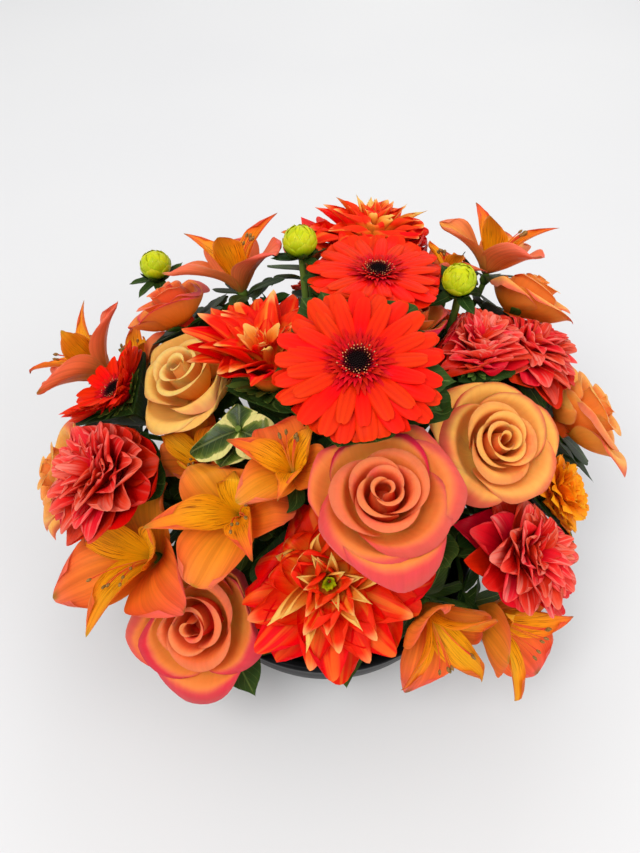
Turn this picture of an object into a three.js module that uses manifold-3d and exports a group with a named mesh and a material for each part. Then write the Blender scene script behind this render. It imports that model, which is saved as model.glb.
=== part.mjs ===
// A low, round table centerpiece: cut flowers pushed into a block of floral foam in a small dark bowl.
// Millimetres, +Z up. The origin is the middle of the bowl's foot, on the table.
import * as THREE from 'three';
import { mergeVertices } from 'three/addons/utils/BufferGeometryUtils.js';
import Module from 'manifold-3d';

const wasm = await Module();
wasm.setup();

// ---- driving dimensions -------------------------------------------------------------------------

const BOWL = { footRadius: 55, rimRadius: 84, height: 62, wall: 2.4, floor: 3, lipDrop: 5, sides: 20 };
const FOAM = { radius: 74, shoulder: 70, top: 114, hub: 42, holeDepth: 15, sides: 14, domeRings: 2 };
const SEAT_GAP = 0.3;
const STEM_SIDES = 5;
const HOLE_SIDES = 4;
const CELL_GAP = 0.75;
const CELL_SOFTNESS = 3;
const DEGREE = Math.PI / 180;

const COLOURS = {
  bowl: 0x1d1d1f,
  foam: 0x22361c,
  stem: 0x5a7a2a,
  coralRose: 0xf07a52,
  peachRose: 0xf6a66a,
  creamRose: 0xf8be82,
  gerbera: 0xee3314,
  gerberaEye: 0x3a0a10,
  dahlia: 0xd8260c,
  coralDouble: 0xe24a4e,
  alstroemeria: 0xea7c22,
  bud: 0xb9cc2c,
  marigold: 0xf6860c,
  variegated: 0x5c7a34,
};

// Each bloom: where the middle of its face is, which way it faces (degrees from +X, degrees above level),
// the radius of its face, how high it ranks over the blooms that it overlaps, and the turn of its petals.
const BLOOMS = [
  bloom('rose_front', 'rose', [23, -49, 179], [-92, 76], 35, 10, 20, 'coralRose',
    { layers: 4, leaves: [-70, 75] }),
  bloom('rose_right', 'rose', [82, -14, 166], [-66, 62], 32, 9, 75, 'peachRose',
    { layers: 4, leaves: [-20, 40] }),
  bloom('rose_left', 'rose', [-77, 31, 168], [196, 66], 35, 9, 10, 'creamRose',
    { layers: 3, leaves: [-30, 8] }),
  bloom('rose_low_left', 'rose', [-66, -80, 105], [-112, 50], 38, 5, 200, 'coralRose', { layers: 3 }),
  bloom('rose_far_right', 'rose', [148, 30, 142], [8, 40], 35, 5, 40, 'peachRose',
    { layers: 2, leaves: [-34, 34] }),
  bloom('rose_back_right', 'rose', [113, 82, 181], [36, 48], 30, 6, 130, 'peachRose',
    { layers: 2, fused: true }),
  bloom('rose_back_left', 'rose', [-88, 78, 178], [144, 52], 28, 6, 15, 'coralRose',
    { layers: 2, fused: true }),
  bloom('rose_far_left', 'rose', [-157, 10, 108], [188, 30], 35, 3, 60, 'peachRose',
    { layers: 2, leaves: [-34, 34] }),
  bloom('rose_middle', 'rose', [44, 48, 190], [100, 76], 17, 7, 0, 'coralRose',
    { layers: 1, fused: true }),
  bloom('rose_rear_left', 'rose', [-58, 124, 120], [114, 32], 33, 3, 90, 'peachRose',
    { layers: 2, fused: true, leaves: [-34, 34] }),
  bloom('rose_rear_right', 'rose', [82, 120, 120], [56, 32], 33, 3, 50, 'coralRose',
    { layers: 2, fused: true, leaves: [-34, 34] }),
  bloom('gerbera_top', 'gerbera', [12, -1, 204], [-98, 74], 39, 11, 0, 'gerbera'),
  bloom('gerbera_back', 'gerbera', [24, 60, 204], [84, 83], 36, 8, 9, 'gerbera'),
  bloom('gerbera_left', 'gerbera', [-111, 31, 150], [175, 58], 35, 4, 4, 'gerbera'),
  bloom('gerbera_rear', 'gerbera', [12, 138, 128], [88, 34], 37, 4, 5, 'gerbera', { fused: true }),
  bloom('dahlia_front', 'dahlia', [0, -70, 133], [-92, 56], 43, 7, 0, 'dahlia'),
  bloom('dahlia_back', 'dahlia', [25, 110, 196], [80, 62], 41, 5, 12, 'dahlia'),
  bloom('dahlia_left', 'dahlia', [-31, 24, 190], [140, 78], 42, 7, 6, 'dahlia', { leaves: [0] }),
  bloom('double_left', 'double', [-116, -12, 139], [202, 54], 37, 6, 0, 'coralDouble',
    { leaves: [-42, -16] }),
  bloom('double_low_right', 'double', [102, -46, 118], [-34, 48], 35, 4, 15, 'coralDouble',
    { leaves: [2, 42] }),
  bloom('double_middle', 'double', [73, 32, 184], [0, 80], 27, 6, 33, 'coralDouble', { fused: true }),
  bloom('double_right', 'double', [106, 46, 170], [0, 62], 31, 5, 21, 'coralDouble', { leaves: [20] }),
  bloom('double_rear', 'double', [134, 76, 112], [30, 26], 33, 3, 8, 'coralDouble',
    { fused: true, leaves: [-34, 34] }),
  bloom('marigold_right', 'marigold', [122, -13, 124], [-10, 40], 20, 4, 0, 'marigold',
    { fused: true }),
];

// Each floret of a spray of alstroemeria is placed as a bloom is; its spray gives the stem that carries it.
const SPRAYS = {
  spray_left: [
    floret([-144, 68, 146], [160, 42], 35, 4, 10),
    floret([-112, 74, 142], [132, 58], 24, 4, 50),
  ],
  spray_front_left: [
    floret([-104, -50, 124], [222, 56], 45, 6, 0),
    floret([-70, -4, 146], [205, 70], 28, 4, 30),
  ],
  spray_centre: [
    floret([-48, -43, 158], [236, 68], 37, 8, 40),
    floret([-19, -30, 176], [240, 76], 28, 8, 15),
  ],
  spray_back_left: [
    floret([-52, 94, 196], [118, 64], 34, 6, 5),
    floret([-12, 116, 184], [104, 62], 24, 4, 20),
  ],
  spray_back_right: [
    floret([94, 108, 194], [60, 62], 34, 7, 25),
    floret([64, 88, 194], [80, 72], 22, 6, 45),
  ],
  spray_front_right: [
    floret([98, -82, 97], [-43, 25], 39, 3, 35),
    floret([57, -92, 102], [-72, 14], 36, 3, 0),
  ],
  spray_rear: [
    floret([-112, 94, 104], [140, 24], 30, 3, 12),
    floret([-136, 54, 100], [162, 16], 26, 3, 40),
  ],
};

const BUDS = [
  bloom('bud_left', 'bud', [-95, 103, 171], [112, 76], 9, 5, 0, 'bud'),
  bloom('bud_back', 'bud', [-14, 80, 204], [110, 76], 9, 9, 20, 'bud'),
  bloom('bud_middle', 'bud', [62, 53, 202], [228, 80], 8.5, 12, 40, 'bud'),
];

const SPRIG = bloom('variegated_sprig', 'sprig', [-45, -6, 168], [232, 68], 24, 8, 0, 'variegated');

function bloom(name, kind, at, [azimuth, elevation], radius, rank, spin, colour, options = {}) {
  const face = new THREE.Vector3(...at);
  const axis = new THREE.Vector3(
    Math.cos(elevation * DEGREE) * Math.cos(azimuth * DEGREE),
    Math.cos(elevation * DEGREE) * Math.sin(azimuth * DEGREE),
    Math.sin(elevation * DEGREE),
  );
  const side = new THREE.Vector3(-Math.sin(azimuth * DEGREE), Math.cos(azimuth * DEGREE), 0);
  const other = new THREE.Vector3().crossVectors(axis, side);
  return { name, kind, face, axis, side, other, radius, rank, spin: spin * DEGREE, colour, ...options };
}

function floret(at, facing, radius, rank, spin) {
  return bloom('floret', 'floret', at, facing, radius, rank, spin, 'alstroemeria');
}

// ---- petals and leaves ---------------------------------------------------------------------------

// A ring of blades: how many, where they root (radius, height), how steeply they leave and end (degrees
// above level), length and width. All sizes are in radii of the bloom's face, heights from its face.
const RINGS = {
  gerbera: [
    { count: 8, root: [0.08, -0.2], rise: [12, -12], length: 0.94, width: 0.42 },
    { count: 8, root: [0.08, -0.13], rise: [13, -8], length: 0.92, width: 0.38 },
  ],
  dahlia: [
    { count: 8, root: [0.2, -0.48], rise: [26, -14], length: 0.9, width: 0.5 },
    { count: 6, root: [0.18, -0.36], rise: [46, 8], length: 0.82, width: 0.54 },
    { count: 4, root: [0.12, -0.24], rise: [64, 34], length: 0.6, width: 0.48 },
  ],
  double: [
    { count: 5, root: [0.2, -0.52], rise: [22, -4], length: 0.88, width: 0.84 },
    { count: 4, root: [0.17, -0.38], rise: [48, 28], length: 0.72, width: 0.68 },
    { count: 3, root: [0.09, -0.24], rise: [70, 72], length: 0.48, width: 0.5 },
  ],
  marigold: [
    { count: 6, root: [0.26, -0.46], rise: [12, -10], length: 0.76, width: 0.7 },
    { count: 4, root: [0.2, -0.32], rise: [44, 20], length: 0.54, width: 0.6 },
  ],
  floret: [
    { count: 3, root: [0.03, -0.92], rise: [62, -4], length: 1.12, width: 0.8, belly: 0.62 },
    { count: 3, root: [0.03, -0.82], rise: [76, 26], length: 1.14, width: 0.56, belly: 0.58 },
  ],
  leaf: [{ count: 1, root: [0.02, 0.02], rise: [24, -34], length: 1, width: 0.52, belly: 0.45 }],
  bracts: [{ count: 3, root: [0.1, -1.05], rise: [2, -46], length: 1.7, width: 0.8, belly: 0.4 }],
  sprig: [
    { count: 3, root: [0.04, -0.5], rise: [22, -6], length: 1.15, width: 0.8, belly: 0.45 },
    { count: 2, root: [0.04, -0.75], rise: [30, 10], length: 1.1, width: 0.66, belly: 0.45 },
  ],
};

// A rose: how many petals in each layer from the middle out, for a bloom of one to four layers.
const ROSE_COUNTS = { 1: [4], 2: [3, 4], 3: [3, 3, 4], 4: [2, 3, 3, 5] };

// How a kind's blade is cut: lengths along it, thickness along its middle in mm, where it is broadest,
// how broad its root and tip are beside that, and how far it rolls across its width.
const BLADES = {
  gerbera: { rows: 2, thick: 1.1, belly: 0.6, rootWidth: 0.45, tipWidth: 0.6, roll: -0.5 },
  dahlia: { rows: 2, thick: 1.3, belly: 0.5, rootWidth: 0.4, tipWidth: 0.24, roll: 0.75 },
  double: { rows: 2, thick: 1.3, belly: 0.55, rootWidth: 0.4, tipWidth: 0.55, roll: 0.8 },
  marigold: { rows: 2, thick: 1.1, belly: 0.7, rootWidth: 0.5, tipWidth: 0.7, roll: -0.4 },
  floret: { rows: 2, thick: 1.2, belly: 0.6, rootWidth: 0.1, tipWidth: 0.34, roll: 0.7 },
  leaf: { rows: 2, thick: 1.1, belly: 0.45, rootWidth: 0.2, tipWidth: 0.1, roll: 0.5 },
  bracts: { rows: 2, thick: 1.0, belly: 0.4, rootWidth: 0.6, tipWidth: 0.1, roll: 0.3 },
  sprig: { rows: 2, thick: 1.1, belly: 0.45, rootWidth: 0.25, tipWidth: 0.12, roll: 0.5 },
};

// The solid middle that carries the petals: its outline from foot to top, in radii of the face.
const HUBS = {
  rose: { sides: 6, outline: [[0, -0.95], [0.18, -0.9], [0.22, -0.5], [0.1, -0.06], [0, -0.02]] },
  gerbera: { sides: 8, outline: [[0, -0.27], [0.18, -0.26], [0.27, -0.14], [0.24, -0.09], [0, -0.09]] },
  dahlia: { sides: 6, outline: [[0, -0.62], [0.2, -0.6], [0.28, -0.42], [0.12, -0.14], [0, -0.1]] },
  double: { sides: 6, outline: [[0, -0.66], [0.2, -0.64], [0.28, -0.46], [0.14, -0.14], [0, -0.1]] },
  marigold: { sides: 6, outline: [[0, -0.62], [0.22, -0.6], [0.34, -0.4], [0.14, -0.1], [0, -0.06]] },
  bud: {
    sides: 10,
    outline: [[0, -0.86], [0.5, -0.74], [0.9, -0.3], [0.98, 0.1], [0.7, 0.66], [0.3, 0.86], [0, 0.9]],
  },
};

// The dark disc in the middle of a gerbera, standing just clear of the petals' hub.
const EYE = { sides: 10, crown: [[0.17, -0.04], [0.1, 0.01], [0, -0.02]] };

// How far below its face each kind's mass sits, in radii of the face.
const HEART_DEPTH = {
  rose: 0.38, gerbera: 0.12, dahlia: 0.3, double: 0.35, marigold: 0.3, floret: 0.4, bud: 0, sprig: 0.3,
};

// Stems: radii in mm, and how deep below its face a floret, a sprig or a fused bloom takes its stem.
const STEM = { bloom: 2.3, spray: 2, bud: 1.9, sprig: 1.7, bendSteps: 3 };
const STEM_END = { floretBase: 1.02, floret: 0.8, sprig: 0.4, fusedShare: 0.72 };

// Leaves root on a stem at the foam and spread level, at turns off the way its bloom faces.
const LEAF = { length: 42, up: new THREE.Vector3(0, 0, 1) };

function seededRandom(seed) {
  let state = seed >>> 0;
  return () => {
    state = (state + 0x6d2b79f5) >>> 0;
    let mixed = Math.imul(state ^ (state >>> 15), state | 1);
    mixed ^= mixed + Math.imul(mixed ^ (mixed >>> 7), mixed | 61);
    return ((mixed ^ (mixed >>> 14)) >>> 0) / 4294967296;
  };
}

function seedOf(flower) {
  return Math.round(flower.face.x * 7 + flower.face.y * 131 + flower.face.z * 1009 + 500000);
}

function widthAt(blade, v) {
  if (v < blade.belly) {
    return blade.rootWidth + (1 - blade.rootWidth) * Math.sin((Math.PI / 2) * (v / blade.belly));
  }
  const past = (v - blade.belly) / (1 - blade.belly);
  return Math.max(blade.tipWidth, Math.sqrt(1 - past * past * (1 - blade.tipWidth * blade.tipWidth)));
}

// A strap that leaves the bloom's middle at one slope and ends at another, rolled across its width.
function strapSurface(flower, blade, ring, turn, jitter) {
  const start = (ring.rise[0] + jitter.rise) * DEGREE;
  const bend = (ring.rise[1] - ring.rise[0]) * DEGREE;
  const length = ring.length * jitter.length;
  return (u, v) => {
    const rise = start + bend * v;
    const half = 0.5 * ring.width * widthAt(blade, v);
    const across = (half * Math.sin(blade.roll * u)) / blade.roll;
    const lift = (half * (1 - Math.cos(blade.roll * u))) / blade.roll;
    const run = (length * (Math.sin(rise) - Math.sin(start))) / bend;
    const climb = (length * (Math.cos(start) - Math.cos(rise))) / bend;
    const reach = ring.root[0] + run - lift * Math.sin(rise);
    const height = ring.root[1] + climb + lift * Math.cos(rise);
    return inBloom(flower, turn, reach, across, height);
  };
}

// A rose petal: wrapped round the middle from a narrow foot to a broad rim that rolls outward.
function wrapSurface(flower, layer, turn, jitter) {
  const bezier = (from, middle, to, t) => (1 - t) * (1 - t) * from + 2 * t * (1 - t) * middle + t * t * to;
  return (u, v) => {
    const raised = v * (1 - 0.2 * Math.abs(u) ** 2.5);
    const lip = layer.lip * Math.max(0, (raised - 0.6) / 0.4) ** 2;
    const opening = 0.4 + 0.6 * Math.sin((Math.PI / 2) * Math.min(1, v * 1.5));
    const angle = u * layer.half * DEGREE * opening;
    const spiral = 1 + 0.09 * u;
    const radius = bezier(0.12, layer.belly, layer.rim, raised) * spiral + 0.1 * lip;
    const height = bezier(layer.foot, -0.62, layer.height, raised) - 0.07 * lip;
    return inBloom(flower, turn + angle, radius * jitter.length, 0, height + 0.004 * jitter.rise);
  };
}

// A point given by its reach from the bloom's axis at a turn round it, a step across that, and a height,
// all in radii of the bloom's face.
function inBloom(flower, turn, reach, across, height) {
  const x = flower.radius * (reach * Math.cos(turn) - across * Math.sin(turn));
  const y = flower.radius * (reach * Math.sin(turn) + across * Math.cos(turn));
  return flower.face
    .clone()
    .addScaledVector(flower.side, x)
    .addScaledVector(flower.other, y)
    .addScaledVector(flower.axis, flower.radius * height);
}

// The turn of one blade of a ring; every other ring is set half a step on, to fill the gaps.
function stepped(index, level, count) {
  return ((index + 0.5 * (level % 2)) / count) * 2 * Math.PI;
}

function ringBlades(flower, kind, random) {
  const blades = [];
  RINGS[kind].forEach((ring, level) => {
    const blade = { ...BLADES[kind], belly: ring.belly ?? BLADES[kind].belly };
    for (let i = 0; i < ring.count; i += 1) {
      const turn = flower.spin + stepped(i, level, ring.count) + 0.09 * (random() - 0.5);
      const jitter = { rise: 7 * (random() - 0.5), length: 0.95 + 0.09 * random() };
      const surface = strapSurface(flower, blade, ring, turn, jitter);
      blades.push({ surface, rows: blade.rows, columns: 2, thick: blade.thick });
    }
  });
  return blades;
}

function roseBlades(flower, random) {
  const counts = ROSE_COUNTS[flower.layers];
  const blades = [];
  counts.forEach((count, level) => {
    const out = (level + 1) / counts.length;
    const layer = {
      rim: 0.16 + 0.8 * out ** 1.1,
      belly: 0.24 + 0.56 * out,
      height: -0.34 * out ** 1.8,
      foot: -0.86 + 0.26 * (1 - out),
      half: 189 / count,
      lip: out ** 2,
    };
    for (let i = 0; i < count; i += 1) {
      const turn = flower.spin + stepped(i, level, count) + 0.12 * (random() - 0.5);
      const jitter = { rise: 7 * (random() - 0.5), length: 0.97 + 0.05 * random() };
      const columns = level === counts.length - 1 ? 3 : 2;
      blades.push({ surface: wrapSurface(flower, layer, turn, jitter), rows: 2, columns, thick: 1.4 });
    }
  });
  return blades;
}

// ---- room for each bloom -------------------------------------------------------------------------

// Crowded blooms bend clear of each other. Each has a cell bounded by planes: beside a bloom that ranks
// higher the plane leans in under that bloom's rim, so that the lower one tucks beneath it.
function heartOf(flower) {
  return below(flower, HEART_DEPTH[flower.kind]);
}

function dividingPlane(over, under) {
  const overHeart = heartOf(over);
  const underHeart = heartOf(under);
  const between = underHeart.clone().sub(overHeart);
  const distance = between.length();
  const overlap = over.radius + under.radius - distance;
  const direct = between.clone().divideScalar(distance);
  const drop = -between.dot(over.axis);
  if (overlap <= 0 || drop < 0) {
    const share = overlap <= 0 ? over.radius - overlap / 2 : over.radius - (0.35 * overlap);
    return { normal: direct, point: overHeart.addScaledVector(direct, share) };
  }
  const across = between.clone().addScaledVector(over.axis, drop);
  const level = across.length();
  across.normalize();
  const wanted = Math.max(Math.atan2(drop, level), (overlap / under.radius) * 80 * DEGREE);
  const tilt = Math.min(wanted, 58 * DEGREE);
  const normal = across.clone().multiplyScalar(Math.cos(tilt)).addScaledVector(over.axis, -Math.sin(tilt));
  const point = overHeart.addScaledVector(across, over.radius);
  const room = underHeart.clone().sub(point).dot(normal);
  const shortfall = Math.max(0, 0.42 * under.radius - room);
  return { normal, point: point.addScaledVector(normal, -shortfall) };
}

function cellOf(flower, all) {
  const planes = [];
  for (const other of all) {
    const apart = heartOf(other).distanceTo(heartOf(flower));
    if (other === flower || apart > 1.25 * (other.radius + flower.radius) + 6) continue;
    const isOver = flower.rank > other.rank || (flower.rank === other.rank && flower.face.z >= other.face.z);
    const { normal, point } = isOver ? dividingPlane(flower, other) : dividingPlane(other, flower);
    const outward = isOver ? normal : normal.clone().negate();
    planes.push({ outward, limit: outward.dot(point) - CELL_GAP });
  }
  return planes;
}

function confine(point, planes) {
  for (let pass = 0; pass < 3; pass += 1) {
    for (const { outward, limit } of planes) {
      const beyond = outward.dot(point) - limit + CELL_SOFTNESS;
      if (beyond > 0) {
        const allowed = CELL_SOFTNESS * (1 - Math.exp(-beyond / CELL_SOFTNESS));
        point.addScaledVector(outward, allowed - beyond);
      }
    }
  }
  return point;
}

// ---- solids --------------------------------------------------------------------------------------

function solidFrom(positions, triangles) {
  const mesh = new wasm.Mesh({
    numProp: 3,
    vertProperties: Float32Array.from(positions),
    triVerts: Uint32Array.from(triangles),
  });
  return new wasm.Manifold(mesh);
}

function solidOf(geometry) {
  const bare = geometry.index ? geometry.toNonIndexed() : geometry.clone();
  bare.deleteAttribute('normal');
  bare.deleteAttribute('uv');
  const merged = mergeVertices(bare, 1e-3);
  const positions = merged.attributes.position.array;
  const triangles = [];
  for (let i = 0; i < merged.index.count; i += 3) {
    const [a, b, c] = [0, 1, 2].map((k) => merged.index.getX(i + k));
    if (a !== b && b !== c && c !== a) triangles.push(a, b, c);
  }
  if (signedVolume(positions, triangles) < 0) triangles.reverse();
  return solidFrom(positions, triangles);
}

function signedVolume(positions, triangles) {
  let volume = 0;
  const corner = (index) => new THREE.Vector3().fromArray(positions, 3 * index);
  for (let i = 0; i < triangles.length; i += 3) {
    const [a, b, c] = [corner(triangles[i]), corner(triangles[i + 1]), corner(triangles[i + 2])];
    volume += a.dot(b.cross(c)) / 6;
  }
  return volume;
}

// A blade from its mid-surface: it starts in a point at its root, which stays where it is sunk in, is
// thickest along the middle, thins to an edge all round, and is split into triangles alike on both faces.
function bladeSolid({ surface, rows, columns, thick }, planes) {
  const grid = [surface(0, 0)];
  for (let i = 1; i <= rows; i += 1) {
    for (let j = 0; j <= columns; j += 1) {
      grid.push(confine(surface(-1 + (2 * j) / columns, i / rows), planes));
    }
  }
  const at = (i, j) => (i === 0 ? 0 : (i - 1) * (columns + 1) + j + 1);
  const positions = grid.flatMap((point) => point.toArray());
  const under = new Map();
  for (let i = 1; i < rows; i += 1) {
    for (let j = 1; j < columns; j += 1) {
      const across = grid[at(i, j + 1)].clone().sub(grid[at(i, j - 1)]);
      const along = grid[at(i + 1, j)].clone().sub(grid[at(i - 1, j)]);
      const lift = across.cross(along).normalize().multiplyScalar(thick / 2);
      const middle = grid[at(i, j)];
      under.set(at(i, j), positions.length / 3);
      positions.push(...middle.clone().sub(lift).toArray());
      middle.clone().add(lift).toArray(positions, 3 * at(i, j));
    }
  }
  const underside = (index) => under.get(index) ?? index;
  const triangles = [];
  for (let i = 0; i < rows; i += 1) {
    for (let j = 0; j < columns; j += 1) {
      const [a, b, c, d] = [at(i, j), at(i, j + 1), at(i + 1, j + 1), at(i + 1, j)];
      const halves = i === 0 ? [[a, c, d]] : [[a, b, c], [a, c, d]];
      halves.forEach(([p, q, r]) => triangles.push(p, q, r, underside(p), underside(r), underside(q)));
    }
  }
  return solidFrom(positions, triangles);
}

// A solid of revolution about a bloom's axis; its outline is in radii of the face.
function turned(flower, outline, sides) {
  const scaled = outline.map(([reach, level]) => new THREE.Vector2(reach, level).multiplyScalar(flower.radius));
  const geometry = new THREE.LatheGeometry(scaled, sides);
  const frame = new THREE.Matrix4().makeBasis(flower.side, flower.axis, flower.other.clone().negate());
  frame.setPosition(flower.face);
  return solidOf(geometry.applyMatrix4(frame));
}

// A run of straight lengths whose even steps fall on the given points.
class Run extends THREE.Curve {
  constructor(points) {
    super();
    this.points = points;
  }

  getPoint(t, target = new THREE.Vector3()) {
    const place = Math.min(Math.max(t, 0), 1) * (this.points.length - 1);
    const index = Math.min(Math.floor(place), this.points.length - 2);
    return target.lerpVectors(this.points[index], this.points[index + 1], place - index);
  }

  getUtoTmapping(u) {
    return u;
  }
}

// A round stem of few sides along the given points.
function stemSolid(points, radius, sides = STEM_SIDES) {
  const outline = new THREE.Shape();
  for (let k = 0; k < sides; k += 1) {
    const angle = (k / sides) * 2 * Math.PI;
    const [x, y] = [radius * Math.cos(angle), radius * Math.sin(angle)];
    if (k === 0) outline.moveTo(x, y);
    else outline.lineTo(x, y);
  }
  const extrudePath = new Run(points);
  const steps = points.length - 1;
  return solidOf(new THREE.ExtrudeGeometry(outline, { steps, bevelEnabled: false, extrudePath }));
}

function joined(solids) {
  return solids.reduce((sum, solid) => sum.add(solid));
}

// The one main body of a solid as a geometry: loose scraps are dropped and sealed hollows filled.
function mainBody(solid) {
  const { vertProperties, triVerts } = solid.getMesh();
  const parent = Array.from({ length: vertProperties.length / 3 }, (_, index) => index);
  const rootOf = (index) => {
    while (parent[index] !== index) {
      parent[index] = parent[parent[index]];
      index = parent[index];
    }
    return index;
  };
  for (let i = 0; i < triVerts.length; i += 3) {
    parent[rootOf(triVerts[i])] = rootOf(triVerts[i + 1]);
    parent[rootOf(triVerts[i + 1])] = rootOf(triVerts[i + 2]);
  }
  const shells = new Map();
  for (let i = 0; i < triVerts.length; i += 3) {
    const key = rootOf(triVerts[i]);
    if (!shells.has(key)) shells.set(key, []);
    shells.get(key).push(triVerts[i], triVerts[i + 1], triVerts[i + 2]);
  }
  const bySize = [...shells.values()]
    .map((triangles) => ({ triangles, volume: signedVolume(vertProperties, triangles) }))
    .sort((a, b) => b.volume - a.volume);
  const geometry = new THREE.BufferGeometry();
  geometry.setAttribute('position', new THREE.BufferAttribute(vertProperties, 3));
  geometry.setIndex(bySize[0].triangles);
  return geometry;
}

// ---- the object ----------------------------------------------------------------------------------

const centerpiece = new THREE.Group();
const holes = [];

function addNode(name, solid, colour, roughness = 0.6) {
  const geometry = mainBody(solid).toNonIndexed();
  geometry.computeVertexNormals();
  const material = new THREE.MeshStandardMaterial({ color: COLOURS[colour], roughness, metalness: 0 });
  material.side = THREE.DoubleSide;
  const mesh = new THREE.Mesh(geometry, material);
  mesh.name = name;
  centerpiece.add(mesh);
}

const florets = Object.values(SPRAYS).flat();
const everyBloom = [...BLOOMS, ...florets, ...BUDS, SPRIG];
const cells = new Map(everyBloom.map((flower) => [flower, cellOf(flower, everyBloom)]));

// A point on the bloom's axis, so many radii below its face.
function below(flower, depth) {
  return flower.face.clone().addScaledVector(flower.axis, -depth * flower.radius);
}

// The foam's outline above its shoulder: a quarter ellipse up to its top.
function isInFoam(point) {
  if (point.z <= FOAM.shoulder) return Math.hypot(point.x, point.y) < FOAM.radius;
  const rise = (point.z - FOAM.shoulder) / (FOAM.top - FOAM.shoulder);
  const reach = Math.hypot(point.x, point.y) / FOAM.radius;
  return rise * rise + reach * reach < 1;
}

// Where a stem enters the foam, on the straight way from the foam's hub to the bloom.
function foamEntry(target) {
  const hub = new THREE.Vector3(0, 0, FOAM.hub);
  let [inside, outside] = [0, 1];
  for (let halving = 0; halving < 16; halving += 1) {
    const middle = (inside + outside) / 2;
    if (isInFoam(hub.clone().lerp(target, middle))) inside = middle;
    else outside = middle;
  }
  return hub.lerp(target, inside);
}

// The stem's run: from its cut end in the foam straight out, then bending to the bloom's base.
function stemRun(base, axis, radius) {
  const entry = foamEntry(base);
  const inward = new THREE.Vector3(0, 0, FOAM.hub).sub(entry).normalize();
  const reach = base.distanceTo(entry);
  const cut = entry.clone().addScaledVector(inward, FOAM.holeDepth);
  const outside = entry.clone().addScaledVector(inward, -Math.min(8, 0.4 * reach));
  holes.push(holeAt(entry, inward, radius));
  const elbow = base.clone().addScaledVector(axis, -0.45 * reach);
  const bend = new THREE.QuadraticBezierCurve3(outside, elbow, base);
  return [cut, ...bend.getPoints(STEM.bendSteps)];
}

function holeAt(entry, inward, radius) {
  const bottom = entry.clone().addScaledVector(inward, FOAM.holeDepth + 1);
  const far = entry.clone().addScaledVector(inward, -12);
  return stemSolid([bottom, far], (radius + SEAT_GAP) / Math.cos(Math.PI / HOLE_SIDES), HOLE_SIDES);
}

// The petals of a bloom joined to its hub.
function headOf(flower) {
  const random = seededRandom(seedOf(flower));
  const planes = cells.get(flower);
  const { outline, sides } = HUBS[flower.kind];
  const isRose = flower.kind === 'rose';
  const blades = isRose ? roseBlades(flower, random) : ringBlades(flower, flower.kind, random);
  return joined([turned(flower, outline, sides), ...blades.map((blade) => bladeSolid(blade, planes))]);
}

// The leaves of a stem, rooted where it leaves the foam.
function leavesOn(run, flower) {
  const random = seededRandom(seedOf(flower) + 1);
  const facing = Math.atan2(flower.axis.y, flower.axis.x);
  const [side, other] = [new THREE.Vector3(1, 0, 0), new THREE.Vector3(0, 1, 0)];
  return (flower.leaves ?? []).flatMap((turn) => {
    const spin = facing + turn * DEGREE;
    const frame = { face: run[1], axis: LEAF.up, side, other, radius: LEAF.length, spin };
    return ringBlades(frame, 'leaf', random).map((blade) => bladeSolid(blade, []));
  });
}

// A bloom's own stem, which widens to a calyx under a rose.
function bloomStem(flower) {
  const foot = HUBS[flower.kind].outline[0][1] - SEAT_GAP / flower.radius;
  const run = stemRun(below(flower, -foot), flower.axis, STEM.bloom);
  const parts = [stemSolid(run, STEM.bloom), ...leavesOn(run, flower)];
  if (flower.kind === 'rose') parts.push(turned(flower, [[0, foot - 0.2], [0.2, foot], [0, foot]], 5));
  return joined(parts);
}

function addBloom(flower) {
  const head = headOf(flower);
  if (flower.fused) {
    const sunk = below(flower, -STEM_END.fusedShare * HUBS[flower.kind].outline[0][1]);
    const run = stemRun(sunk, flower.axis, STEM.bloom);
    const parts = [head, stemSolid(run, STEM.bloom), ...leavesOn(run, flower)];
    addNode(flower.name, joined(parts), flower.colour);
  } else {
    addNode(`${flower.name}_petals`, head, flower.colour);
    addNode(`${flower.name}_stem`, bloomStem(flower), 'stem');
  }
  if (flower.kind === 'gerbera') {
    const rest = HUBS.gerbera.outline.at(-1)[1] + SEAT_GAP / flower.radius;
    const eye = turned(flower, [[0, rest], [0.16, rest], ...EYE.crown], EYE.sides);
    addNode(`${flower.name}_eye`, eye, 'gerberaEye');
  }
}

// A spray: one stem that forks below its florets, with the florets' tepals sunk into its tips.
function addSpray(name, members) {
  const bases = members.map((member) => below(member, STEM_END.floretBase));
  const meeting = new THREE.Vector3().lerpVectors(...bases, 0.5);
  const entry = foamEntry(meeting);
  const fork = meeting.clone().lerp(entry, 0.45);
  const way = fork.clone().sub(entry).normalize();
  const parts = [stemSolid(stemRun(fork, way, STEM.spray), STEM.spray)];
  members.forEach((member, index) => {
    const random = seededRandom(seedOf(member));
    const planes = cells.get(member);
    const start = fork.clone().lerp(entry, 0.08);
    const bend = bases[index].clone().addScaledVector(member.axis, -0.5 * bases[index].distanceTo(fork));
    parts.push(stemSolid([start, bend, below(member, STEM_END.floret)], STEM.spray));
    parts.push(...ringBlades(member, 'floret', random).map((blade) => bladeSolid(blade, planes)));
  });
  addNode(name, joined(parts), 'alstroemeria');
}

function addBud(flower) {
  const random = seededRandom(seedOf(flower));
  const { outline, sides } = HUBS.bud;
  addNode(`${flower.name}_head`, turned(flower, outline, sides), 'bud');
  const run = stemRun(below(flower, SEAT_GAP / flower.radius - outline[0][1]), flower.axis, STEM.bud);
  const bracts = ringBlades(flower, 'bracts', random).map((blade) => bladeSolid(blade, []));
  addNode(`${flower.name}_stem`, joined([stemSolid(run, STEM.bud), ...bracts]), 'stem');
}

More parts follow.
